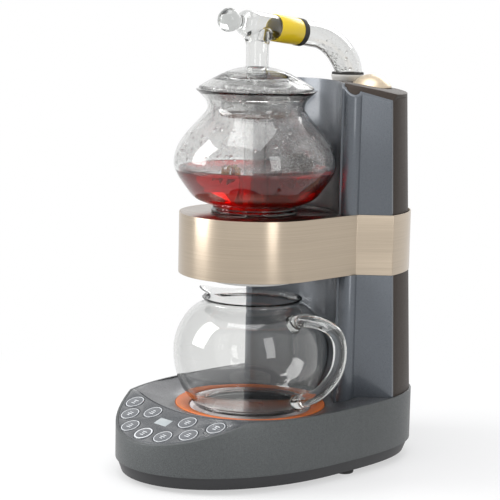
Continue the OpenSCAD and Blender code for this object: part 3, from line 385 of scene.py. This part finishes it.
key_places = [(-54.4, 48.2), (-42.6, 32), (-26.2, 17.8), (-4.4, 13.5), (17.1, 16.3),
              (37.3, 27.1), (52.4, 44.8), (21, 41.3), (-23.5, 41.8)]
ring_r, print_lift, print_thick = 7.9, 0.352, 0.00006
for number, (x, s) in enumerate(key_places, 1):
    keep(solid_copy(f"button_{number}", 0.0002), f"key_cap_{number}", key_gloss,
         f"key_{number}", (f"button_{number}",))
    ring = bmesh.new()
    ring_w = 1.1 if number == 4 else 0.55
    bmesh.ops.create_circle(ring, segments=72, radius=(ring_r - ring_w) / 1000)
    bmesh.ops.create_circle(ring, segments=72, radius=ring_r / 1000)
    bmesh.ops.bridge_loops(ring, edges=ring.edges[:])
    up = bmesh.ops.extrude_face_region(ring, geom=ring.faces[:])
    bmesh.ops.translate(ring, vec=(0, 0, print_thick),
                        verts=[v for v in up["geom"] if isinstance(v, bmesh.types.BMVert)])
    for k in range(3):
        bar = bmesh.ops.create_cube(ring, size=1)["verts"]
        bmesh.ops.scale(ring, vec=(0.0052 - 0.0011 * ((k + number) % 3), 0.0007, print_thick),
                        verts=bar)
        bmesh.ops.translate(ring, vec=(0, (k - 1) * 0.0021, print_thick / 2), verts=bar)
    bmesh.ops.transform(ring, verts=ring.verts, matrix=Matrix.Translation(
        on_panel(x, s, print_lift)) @ Matrix.Rotation(PANEL_TILT, 4, "X"))
    bmesh.ops.recalc_face_normals(ring, faces=ring.faces)
    keep(ring, f"key_print_{number}", white_print, f"key_{number}")

window_grey = finish_material("window grey", grain_group, {
    "Color": (0.42, 0.46, 0.47), "Scale": 120, "Gloss": 0.12, "Variation": 0.3},
    Coat_Weight=0.6, Coat_Roughness=0.05)
keep(solid_copy("display_window", 0.0002), "display", window_grey,
     stands_for=("display_window",))

# Column. Blue-grey glossy front covers line the recess and the two wings; a darker rear
# cover and a crowned top cover close the shell round the boiler.
front_gloss = finish_material("front gloss", flake_group, {
    "Color": (0.1, 0.113, 0.13), "Flake Size": 4200, "Contrast": 0.3, "Gloss": 0.26},
    Metallic=0.35, Coat_Weight=0.5, Coat_Roughness=0.1)
keep(solid_copy("column_front_lower", 0.0004), "front_cover_lower", front_gloss,
     stands_for=("column_front_lower",))
keep(solid_copy("column_front_upper", 0.0005), "front_cover_upper", front_gloss,
     stands_for=("column_front_upper",))
flake_brown = finish_material("dark flake paint", flake_group, {
    "Color": (0.036, 0.026, 0.02), "Flake Size": 3600, "Contrast": 0.7, "Gloss": 0.45},
    bump=0.2, bump_size=0.00004, Metallic=0.5, Specular_IOR_Level=0.4)
keep(solid_copy("column_rear_cover", 0.0003), "rear_cover", flake_brown,
     stands_for=("column_rear_cover",))
keep(solid_copy("column_top_cover", 0.0004), "top_cover", flake_brown,
     stands_for=("column_top_cover",))

# Steel band and platform. A brushed champagne-coloured steel strip wraps platform and column,
# and a plate of the same steel closes the platform's top.
champagne = finish_material("champagne steel", brush_group, {
    "Color": (0.46, 0.385, 0.3), "Stretch": (9, 9, 1300), "Gloss": 0.33, "Contrast": 0.5},
    bump=0.25, bump_size=0.00003, Metallic=1, Anisotropic=0.9, Anisotropic_Rotation=0.25)
round_z = champagne.node_tree.nodes.new("ShaderNodeTangent")
round_z.direction_type = "RADIAL"
round_z.axis = "Z"
champagne.node_tree.links.new(round_z.outputs[0],
                              champagne.node_tree.nodes["Principled BSDF"].inputs["Tangent"])
keep(solid_copy("steel_band", 0.00025), "band", champagne, stands_for=("steel_band",))
plate_steel = finish_material("platform steel", brush_group, {
    "Color": (0.4, 0.345, 0.3), "Stretch": (9, 1300, 9), "Gloss": 0.26, "Contrast": 0.4},
    bump=0.2, bump_size=0.00003, Metallic=1)
keep(solid_copy("platform_top_plate", 0.0002), "platform_plate", plate_steel,
     stands_for=("platform_top_plate",))
light_moulding = finish_material("light moulding", grain_group, {
    "Color": (0.74, 0.73, 0.7), "Scale": 700, "Gloss": 0.4, "Variation": 0.12},
    bump=0.15, bump_size=0.00005)
for node in ("platform_body", "drain_funnel", "steam_pipe"):
    dress(node, light_moulding)
keep(solid_copy("drip_outlet", 0.0004), "outlet", light_moulding, stands_for=("drip_outlet",))
keep(solid_copy("steam_socket", 0.0003), "socket", light_moulding,
     stands_for=("steam_socket",))
dress("platform_bottom_cover", black_moulding)
keep(solid_copy("mains_inlet", 0.0003), "inlet", black_moulding, stands_for=("mains_inlet",))

# Inner parts. Boiler, heaters, thermostats and boards are plain parts that the covers hide, so
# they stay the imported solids, each in the material it is made of.
heater_steel = finish_material("heater steel", brush_group, {
    "Color": (0.36, 0.33, 0.3), "Stretch": (300, 300, 40), "Gloss": 0.45, "Contrast": 0.6},
    Metallic=1)
ceramic = finish_material("ceramic", grain_group, {
    "Color": (0.75, 0.71, 0.63), "Scale": 900, "Gloss": 0.5, "Variation": 0.15})
green_board = finish_material("green board", grain_group, {
    "Color": (0.03, 0.2, 0.08), "Scale": 300, "Gloss": 0.35, "Variation": 0.25})
brown_board = finish_material("brown board", grain_group, {
    "Color": (0.33, 0.2, 0.09), "Scale": 300, "Gloss": 0.5, "Variation": 0.25})
winding = finish_material("copper winding", brush_group, {
    "Color": (0.5, 0.2, 0.08), "Stretch": (30, 30, 2200), "Gloss": 0.35, "Contrast": 0.8},
    Metallic=0.9)
for node, material in (
        ("plate_heater", heater_steel), ("plate_thermostat", ceramic),
        ("control_board", green_board), ("power_board", brown_board),
        ("valve_coil", winding), ("pot_seat_ring", foot_rubber), ("boiler", bare_steel),
        ("boiler_heater", heater_steel), ("boiler_thermostat", ceramic),
        ("boiler_bracket", bare_steel), ("socket_gasket", foot_rubber),
        ("drain_strainer", bare_steel), ("pot_stopper", ceramic)):
    dress(node, material)

# Filler cap. A domed cap of brushed champagne metal over the boiler's neck. A red silicone
# seal lies under its edge.
cap_steel = finish_material("cap steel", brush_group, {
    "Color": (0.6, 0.5, 0.37), "Stretch": (500, 500, 40), "Gloss": 0.38, "Contrast": 0.3},
    Metallic=0.9)
keep(solid_copy("filler_cap", 0.0004), "cap", cap_steel, "filler_cap", ("filler_cap",))
red_silicone = finish_material("red silicone", grain_group, {
    "Color": (0.5, 0.06, 0.03), "Scale": 700, "Gloss": 0.5, "Variation": 0.2})
dress("filler_cap_seal", red_silicone)

# Brewing pot. Blown borosilicate glass, about 2 mm thick, turned to a wide belly with a
# narrow neck and a flared rim. It stands on a short foot ring over the drain hole.
clear_glass = finish_material("clear glass", Base_Color=(0.92, 0.92, 0.915), Roughness=0.0,
                              IOR=1.47, Transmission_Weight=1.0)


def absorbs(material, colour, density):
    """Light that passes through the material is taken up along its way."""
    depth = material.node_tree.nodes.new("ShaderNodeVolumeAbsorption")
    depth.inputs["Color"].default_value = (*colour, 1)
    depth.inputs["Density"].default_value = density
    material.node_tree.links.new(depth.outputs[0],
                                 material.node_tree.nodes["Material Output"].inputs["Volume"])


absorbs(clear_glass, (0.55, 0.57, 0.56), 60)


def flowing(points, steps=5):
    """The points of a smooth line through the given ones."""
    line = []
    for k in range(len(points) - 1):
        a, b = Vector(points[max(k - 1, 0)]), Vector(points[k])
        c, d = Vector(points[k + 1]), Vector(points[min(k + 2, len(points) - 1)])
        for step in range(steps):
            t = step / steps
            line.append(0.5 * (2 * b + (c - a) * t + (2 * a - 5 * b + 4 * c - d) * t * t
                               + (3 * b - a - 3 * c + d) * t ** 3))
    return line + [Vector(points[-1])]


def inside_of(line, wall):
    """The line moved to its left by the wall, kept off the axis."""
    moved = []
    for k, point in enumerate(line):
        way = (line[min(k + 1, len(line) - 1)] - line[max(k - 1, 0)]).normalized()
        moved.append(Vector((max(point.x - way.y * wall, 0), point.y + way.x * wall)))
    return moved


def turned(outline, foot_z, steps=160, closed=True):
    """An outline of radius and height in millimetres, spun round the brewing axis."""
    shape = bmesh.new()
    corners = [shape.verts.new(at(point[0], 0, foot_z + point[1])) for point in outline]
    for a, b in zip(corners, corners[1:] + (corners[:1] if closed else [])):
        shape.edges.new((a, b))
    bmesh.ops.spin(shape, geom=shape.verts[:] + shape.edges[:], cent=at(0, 0, 0),
                   axis=(0, 0, 1), angle=2 * math.pi, steps=steps, use_merge=True,
                   use_duplicate=False)
    if closed:
        bmesh.ops.remove_doubles(shape, verts=shape.verts, dist=0.00001)
        bmesh.ops.recalc_face_normals(shape, faces=shape.faces)
    return shape


BLOWN_WALL = 2.2
pot_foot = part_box("upper_pot")[0].z * 1000
pot_side = flowing([(37.2, 2.3), (36.3, 5.5), (44, 8.8), (52.6, 13.1), (61.7, 24.6), (67.4, 34),
                    (69.5, 42.3), (66.8, 55), (59.2, 67), (48.5, 79), (42.6, 86), (41.5, 90.7),
                    (43.3, 95.5), (47.8, 100.5), (51.7, 104)])
pot_inside = [point for point in inside_of(pot_side, BLOWN_WALL) if 6.5 < point.y < 103.6]
pot_outline = ([(7, 0.4), (7, 4), (31, 4), (35, 5)] + pot_inside
               + [(49.4, 104.2), (50.2, 104.5), (51.2, 104.5)] + pot_side[::-1]
               + [(37, 0.8), (36.3, 0), (33.5, 0), (32.4, 1), (9, 1)])
keep(turned(pot_outline, pot_foot), "pot", clear_glass, "brewing_pot", ("upper_pot",),
     60)

# Tea in the pot: red and clear, up to a third of the pot's height, with a low rim where it
# wets the glass. It overlaps the glass a little, as a liquid has no gap to its wall.
red_tea = finish_material("red tea", Base_Color=(0.84, 0.045, 0.02), Roughness=0.0, IOR=1.33,
                          Transmission_Weight=0.92)
absorbs(red_tea, (0.92, 0.03, 0.015), 60)
tea_top = 37.6
tea_outline = ([(0, 4.2), (31, 4.2)]
               + [(point.x + 0.25, point.y) for point in pot_inside if point.y < tea_top - 0.4]
               + [(64.9, tea_top + 0.9), (64.2, tea_top + 0.35), (62.5, tea_top),
                  (0, tea_top)])
keep(turned(tea_outline, pot_foot, 128), "tea", red_tea, "brewing_pot",
     sharp=60)

# Tea leaves. Dark wet leaves, curled as they swell, heaped at one side where the steam pushes
# them, with a few lighter ones that float beside the tube.
chance = random.Random(7)


def add_leaf(heap, place, length, curl):
    """One leaf: a narrow sheet, pointed at both ends, rolled across and turned at random."""
    flat = bmesh.ops.create_grid(heap, x_segments=5, y_segments=2, size=0.5)["verts"]
    turn = Matrix.Rotation(chance.uniform(0, 2 * math.pi), 4, "Z") @ Matrix.Rotation(
        chance.uniform(-0.9, 0.9), 4, "X") @ Matrix.Rotation(chance.uniform(-0.7, 0.7), 4, "Y")
    for vert in flat:
        x, y = vert.co.x, vert.co.y
        wide = 0.42 * (1 - (2 * x) ** 2) + 0.03
        vert.co = Vector((x, y * wide, curl * (x * x + 1.5 * y * y))) * length / 1000
    bmesh.ops.transform(heap, verts=flat, matrix=Matrix.Translation(place) @ turn)


def keep_leaves(heap, name, kind, tone, gloss):
    """Gives the leaves their thickness and their wet, veined surface."""
    bmesh.ops.solidify(heap, geom=heap.faces[:], thickness=0.0003)
    bmesh.ops.recalc_face_normals(heap, faces=heap.faces)
    leaf = finish_material(kind, grain_group, {
        "Color": tone, "Scale": 500, "Gloss": gloss, "Variation": 0.8},
        bump=0.4, bump_size=0.0003)
    keep(heap, name, leaf, "brewing_pot")


heap_x, heap_y, heap_r, heap_high = 24, 25, 15, 14
leaf_heap = bmesh.new()
for _ in range(150):
    around, out = chance.uniform(0, 2 * math.pi), heap_r * math.sqrt(chance.random())
    rise = heap_high * (1 - (out / (heap_r + 1)) ** 2) * chance.uniform(0.2, 1)
    add_leaf(leaf_heap, at(heap_x + out * math.cos(around), heap_y + out * math.sin(around),
                           pot_foot + tea_top - 1.5 + rise),
             chance.uniform(7, 12), chance.uniform(-0.9, 0.9))
keep_leaves(leaf_heap, "leaf_heap", "wet leaf", (0.055, 0.03, 0.014), 0.3)
light_leaves = bmesh.new()
for _ in range(14):
    add_leaf(light_leaves, at(-9 + chance.gauss(0, 4), -17 + chance.gauss(0, 4),
                              pot_foot + tea_top + chance.uniform(-0.5, 1)),
             chance.uniform(5, 9), chance.uniform(-0.6, 0.6))
keep_leaves(light_leaves, "light_leaves", "pale leaf", (0.42, 0.27, 0.12), 0.35)

# Condensation in the pot. Steam settles on the cool glass above the tea as a fine mist, with
# beads of water that run together and hang on the inside of the wall.
mist_group, given, result = effect_group("condensation", [
    ("Cover", "NodeSocketFloat", 0.2), ("Bead Scale", "NodeSocketFloat", 700)],
    [("Color", "NodeSocketColor"), ("Alpha", "NodeSocketFloat"),
     ("Height", "NodeSocketFloat")])
where = mist_group.nodes.new("ShaderNodeTexCoord").outputs["Object"]
beads = mist_group.nodes.new("ShaderNodeTexVoronoi")
mist_group.links.new(where, beads.inputs["Vector"])
mist_group.links.new(given.outputs["Bead Scale"], beads.inputs["Scale"])
patches = mist_group.nodes.new("ShaderNodeTexNoise")
patches.inputs["Scale"].default_value = 55
patches.inputs["Detail"].default_value = 4
mist_group.links.new(where, patches.inputs["Vector"])
bead_mask = math_node(mist_group, "SUBTRACT", 0.42, beads.outputs["Distance"], True)
patchy = math_node(mist_group, "MULTIPLY", math_node(
    mist_group, "SUBTRACT", patches.outputs["Fac"], 0.3, True), 2.2)
mist_group.links.new(math_node(mist_group, "MULTIPLY", given.outputs["Cover"], math_node(
    mist_group, "ADD", patchy, math_node(mist_group, "MULTIPLY", bead_mask, 1.8)), True),
    result.inputs["Alpha"])
mist_group.links.new(bead_mask, result.inputs["Height"])
mist_tone = mist_group.nodes.new("ShaderNodeCombineColor")
for channel, lightest in (("Red", 0.99), ("Green", 0.98), ("Blue", 0.98)):
    mist_group.links.new(math_node(mist_group, "SUBTRACT", lightest, math_node(
        mist_group, "MULTIPLY", beads.outputs["Distance"], 0.12)), mist_tone.inputs[channel])
mist_group.links.new(mist_tone.outputs[0], result.inputs["Color"])


def mist_material(name, cover, scale):
    """A film of tiny drops that hides the given share of what lies behind it."""
    mist = finish_material(name, mist_group, {"Cover": cover, "Bead Scale": scale},
                           bump=0.5, bump_size=0.0003, Roughness=0.35)
    shader = mist.node_tree.nodes["Principled BSDF"]
    effect = next(node for node in mist.node_tree.nodes if node.type == "GROUP")
    mist.node_tree.links.new(effect.outputs["Alpha"], shader.inputs["Alpha"])
    return mist


def add_bead(drops, place, outward, size):
    """One bead of water, flat where it sits on the glass and a little longer downwards."""
    ball = bmesh.ops.create_uvsphere(drops, u_segments=8, v_segments=5, radius=size / 1000)
    turn = outward.to_track_quat("Z", "Y").to_matrix().to_4x4()
    squeeze = Matrix.Diagonal((1, 1, 0.55, 1))
    bmesh.ops.transform(drops, verts=ball["verts"],
                        matrix=Matrix.Translation(place) @ turn @ squeeze)


def beads_on(line, foot_z, count, lowest, highest, name, body):
    """Beads of water strewn over the inside of a turned wall between two heights."""
    drops = bmesh.new()
    while count:
        k = chance.randrange(1, len(line))
        share = chance.random()
        point = line[k - 1] * (1 - share) + line[k] * share
        way = (line[k] - line[k - 1]).normalized()
        if not lowest < point.y < highest or chance.random() > point.x / 70:
            continue
        count -= 1
        heading = chance.uniform(0, 2 * math.pi)
        outward = Vector((way.y * math.cos(heading), way.y * math.sin(heading), -way.x))
        size = 0.55 + 1.5 * chance.random() ** 4
        add_bead(drops, at(point.x * math.cos(heading), point.x * math.sin(heading),
                           foot_z + point.y), outward, size)
    keep(drops, name, water, body, sharp=80)


water = finish_material("water", Base_Color=(1, 1, 1), Roughness=0.0, IOR=1.33,
                        Transmission_Weight=1.0)
pot_mist = mist_material("pot mist", 0.4, 620)
pot_wall_inside = [point - Vector((0.12, 0)) for point in pot_inside]
pot_film = [point for point in pot_wall_inside if point.y > tea_top + 2]
keep(turned(pot_film, pot_foot, 96, closed=False), "pot_condensation", pot_mist, "brewing_pot",
     sharp=80)
beads_on(pot_wall_inside, pot_foot, 760, tea_top + 2.5, 97, "pot_beads", "brewing_pot")

# Lid. A blown dome with a seat edge low in the pot's flare and a straight collar inside, which
# holds a brown silicone ring in the pot's neck.
lid_side = flowing([(41.4, 97.4), (45.2, 101.6), (48.4, 105), (49, 106.5), (46.5, 108.4),
                    (39.6, 112.4), (28, 118.5), (18, 122.2), (10.05, 123.7)])
lid_inside = [point for point in inside_of(lid_side, BLOWN_WALL) if point.x > 10.2]
lid_outline = (lid_side + [point for point in lid_inside[::-1] if point.x < 27]
               + [(28, 113.5), (28, 84.8), (28.6, 84.5), (29.4, 84.5), (30, 84.8), (30, 112)]
               + [point for point in lid_inside[::-1] if point.x > 32])
keep(turned(lid_outline, pot_foot), "pot_cover", clear_glass, "pot_lid", ("lid",),
     60)
lid_film = [point - Vector((0, 0.12)) for point in lid_inside if point.x > 31]
keep(turned(lid_film, pot_foot, 96, closed=False), "lid_condensation",
     mist_material("lid mist", 0.5, 800), "pot_lid", sharp=80)
beads_on(lid_film, pot_foot, 130, 98, 120, "lid_beads", "pot_lid")
brown_silicone = finish_material("brown silicone", grain_group, {
    "Color": (0.13, 0.055, 0.02), "Scale": 600, "Gloss": 0.4, "Variation": 0.25})
keep(solid_copy("lid_seal", 0.0003), "lid_ring", brown_silicone, "pot_lid", ("lid_seal",))

# Steam arm. Glass tubing: a straight tube drawn out to a ball at its front end, bent wide and
# then tight down into the socket, with an upright tube blown into it over the pot.
TUBE_TILT = math.radians(7.2)
tube_z, tube_r, tube_wall = 378.7, 11, 2
socket_low, socket_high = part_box("steam_socket")
socket_y = ((socket_low.y + socket_high.y) / 2 - AXIS_Y) * 1000


def swept(rings, across, sides=56):
    """Round glass along rings of (place, direction, radius); across lies in every ring."""
    form = bmesh.new()
    rim, before = [], None
    for place, way, radius in rings:
        way = way.normalized()
        turn = (Matrix.Translation(place)
                @ Matrix((across, way.cross(across), way)).transposed().to_4x4()
                @ Matrix.Diagonal((radius / 1000, radius / 1000, 1, 1)))
        if before is None:
            bmesh.ops.create_circle(form, cap_ends=True, segments=sides, radius=1, matrix=turn)
            rim = form.edges[:]
        else:
            grown = bmesh.ops.extrude_edge_only(form, edges=rim)["geom"]
            rim = [item for item in grown if isinstance(item, bmesh.types.BMEdge)]
            bmesh.ops.transform(form, matrix=turn @ before.inverted(), verts=[
                item for item in grown if isinstance(item, bmesh.types.BMVert)])
        before = turn
    bmesh.ops.contextual_create(form, geom=rim)
    bmesh.ops.recalc_face_normals(form, faces=form.faces)
    return form


def arm_line(s):
    """Place and direction on the arm's centre line, s millimetres behind the crossing."""
    wide, tight, flare = 60, 16, 3
    steep = math.radians(50)
    flare_y = socket_y - tight * (1 - math.sin(steep)) - flare * math.cos(steep)
    bend_y = flare_y - wide * (math.sin(steep) - math.sin(TUBE_TILT))
    straight = bend_y / math.cos(TUBE_TILT)
    if s <= straight:
        return s * math.cos(TUBE_TILT), tube_z - s * math.sin(TUBE_TILT), TUBE_TILT
    y, z, slope = bend_y, tube_z - bend_y * math.tan(TUBE_TILT), TUBE_TILT
    s -= straight
    for radius, end in ((wide, steep), (None, flare), (tight, math.pi / 2)):
        if radius is None:
            step = min(s, end)
            y, z = y + step * math.cos(slope), z - step * math.sin(slope)
        else:
            turned_to = min(slope + s / radius, end)
            y += radius * (math.sin(turned_to) - math.sin(slope))
            z -= radius * (math.cos(slope) - math.cos(turned_to))
            step = radius * (turned_to - slope)
            slope = turned_to
        s -= step
        if s <= 0.0001:
            return y, z, slope
    return y, z - s, slope


def arm_ring(s, radius):
    """Centre, direction and radius of one ring of the arm."""
    y, z, slope = arm_line(s)
    return at(0, y, z), Vector((0, math.cos(slope), -math.sin(slope))), radius


def widened(s):
    """How much the tube's radius has grown in the bend, s millimetres behind the crossing."""
    return 1.4 * min(1, max(0, (s - 74) / 38)) ** 1.2


def boolean_solid(form, cuts, name):
    """The form joined with or cut by other forms; each cut is (operation, bmesh)."""
    made = []
    for k, (operation, shape) in enumerate([(None, form)] + cuts):
        mesh = bpy.data.meshes.new(f"{name}_{k}")
        shape.to_mesh(mesh)
        shape.free()
        made.append(bpy.data.objects.new(f"{name}_{k}", mesh))
        bpy.context.scene.collection.objects.link(made[-1])
        if operation:
            step = made[0].modifiers.new(operation, "BOOLEAN")
            step.operation = operation
            step.solver = "EXACT"
            step.object = made[-1]
    bpy.context.view_layer.update()
    ready = bmesh.new()
    ready.from_object(made[0], bpy.context.evaluated_depsgraph_get())
    for item in made:
        bpy.data.objects.remove(item)
    return ready


# Far down the tube stands upright, so its length below is its height above the socket's bottom.
arm_end = 200 + arm_line(200)[1] - (socket_high.z * 1000 - 4)
outer_radii = ([(-43.4, 0.6), (-43, 2.8), (-42, 4.9), (-40.2, 7.4), (-37.6, 9.3), (-34.4, 10),
                (-31, 9.6), (-28.2, 8.4), (-26, 6.9), (-24.4, 5.8), (-23, 5.5), (-21.6, 5.7),
                (-20.2, 6.6), (-18.9, 8.2), (-17.6, 9.6), (-15.8, 10.6), (-13, tube_r)]
               + [(s, tube_r) for s in range(-9, 68, 4)])
along = 68
while along < arm_end:
    outer_radii.append((along, tube_r + widened(along)))
    along += 2.5
outer_radii.append((arm_end, 12.4))
bore_radii = [(-15.4, 1), (-15, 4), (-13.8, 6.8), (-11.8, 8.5), (-9, 9)]
bore_radii += [(s, radius - tube_wall) for s, radius in outer_radii if s > -8]
bore_radii[-1] = (arm_end + 2, bore_radii[-1][1])
x_way = Vector((1, 0, 0))
tube_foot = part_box("glass_arm")[0].z * 1000
upright = [(tube_foot, 9.7), (tube_foot + 3, 9.7)]
upright += [(z, 9.7) for z in range(int(tube_foot) + 8, int(tube_z) - 20, 5)]
upright += [(tube_z - 17, 9.8), (tube_z - 14, 10.3), (tube_z - 12, 11.2), (tube_z - 10, 12.6),
            (tube_z - 6, 12.6), (tube_z, 10.4)]
up_way = Vector((0, 0, 1))
up_rings = [(at(0, 0, z), up_way, radius) for z, radius in upright]
up_bore = [(at(0, 0, z - (2 if z == tube_foot else 0)), up_way, min(radius, 10.4) - tube_wall)
           for z, radius in upright]
arm_glass = boolean_solid(
    swept([arm_ring(s, radius) for s, radius in outer_radii], x_way),
    [("UNION", swept(up_rings, x_way)),
     ("DIFFERENCE", swept([arm_ring(s, radius) for s, radius in bore_radii], x_way)),
     ("DIFFERENCE", swept(up_bore, x_way))], "arm_glass")
keep(arm_glass, "arm", clear_glass, "steam_arm", ("glass_arm",), 45)

# Water in the arm. Steam cools in the bend, so beads cover the inside of its lower wall and
# gather towards the socket.
arm_drops = bmesh.new()
for _ in range(230):
    s = arm_end - 52 * chance.random() ** 1.5
    y, z, slope = arm_line(s)
    below = Vector((0, -math.sin(slope), -math.cos(slope)))
    angle = chance.gauss(0, 1.2)
    outward = below * math.cos(angle) + x_way * math.sin(angle)
    bore = 8.9 + widened(s)
    add_bead(arm_drops, at(0, y, z) + outward * bore / 1000, outward,
             0.4 + 1.1 * chance.random() ** 3)
keep(arm_drops, "arm_beads", water, "steam_arm", sharp=80)

# Serving cup. Blown glass with a low shoulder, a pulled lip opposite the handle, and a solid
# glass rod bent to a handle and melted on at both ends.
cup_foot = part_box("serving_cup")[0].z * 1000
cup_side = flowing([(44, 0), (48.6, 1.4), (52.2, 6.7), (59.3, 15.7), (65, 29.5), (67.4, 47.5),
                    (65.5, 62.7), (59, 77), (50.4, 86.3), (42.8, 90.7), (41.8, 93.1),
                    (43.3, 95)])
cup_inside = [point for point in inside_of(cup_side, BLOWN_WALL) if 4.6 < point.y < 94.4]
cup_outline = ([(0, 0.6), (38, 0.6), (41, 0)] + cup_side + [(42.8, 95.5), (41.8, 95.6)]
               + cup_inside[::-1] + [(42.5, 3.9), (38, 3.4), (0, 3.4)])
cup_wall = turned(cup_outline, cup_foot, 144)
# The lip is pulled out of the rim over 24 degrees to each side, from 82 millimetres up.
lip_angle, lip_from, lip_high, lip_reach = 24, 82, 12.5, 0.0235
for vert in cup_wall.verts:
    x, y = (vert.co.x - AXIS_X) * 1000, (vert.co.y - AXIS_Y) * 1000
    height = vert.co.z * 1000 - cup_foot
    off = abs(math.degrees(math.atan2(y, -x)))
    pull = max(0, 1 - off / lip_angle)
    pull = pull * pull * (3 - 2 * pull) * min(1, max(0, (height - lip_from) / lip_high)) ** 1.7
    vert.co.x -= pull * lip_reach
    vert.co.z += pull * 0.0008 - (pull * (1 - pull)) * 0.003
bmesh.ops.recalc_face_normals(cup_wall, faces=cup_wall.faces)
keep(cup_wall, "cup", clear_glass, "serving_cup", ("serving_cup",), 70)
handle_line = flowing([(50.6, 78.6), (56, 81.6), (64, 84.2), (86.4, 84.4), (100.4, 78.9),
                       (105.8, 66.5), (103.4, 49.4), (93.4, 34.2), (78.4, 21.9),
                       (62, 14.6), (57.4, 12.6)], 7)
handle_rings = []
for k, point in enumerate(handle_line):
    way = handle_line[min(k + 1, len(handle_line) - 1)] - handle_line[max(k - 1, 0)]
    from_end = min(k, len(handle_line) - 1 - k)
    radius = 5.6 + 2.6 * max(0, 1 - from_end / 11) ** 2
    handle_rings.append((at(point.x, 0, cup_foot + point.y), Vector((way.x, 0, way.y)), radius))
keep(swept(handle_rings, Vector((0, 1, 0)), 40), "cup_handle", clear_glass, "serving_cup",
     sharp=60)

# Arm sleeve and its ring. A plain yellow sleeve sits on the sloping tube, with a black rubber
# ring beside it towards the bend.
yellow = finish_material("yellow sleeve", grain_group, {
    "Color": (0.93, 0.66, 0.01), "Scale": 500, "Gloss": 0.3, "Variation": 0.1},
    Coat_Weight=0.3)
keep(solid_copy("arm_sleeve", 0.0002), "sleeve", yellow, "steam_arm", ("arm_sleeve",))
keep(solid_copy("arm_sleeve_ring", 0.0003), "sleeve_ring", foot_rubber, "steam_arm",
     ("arm_sleeve_ring",))
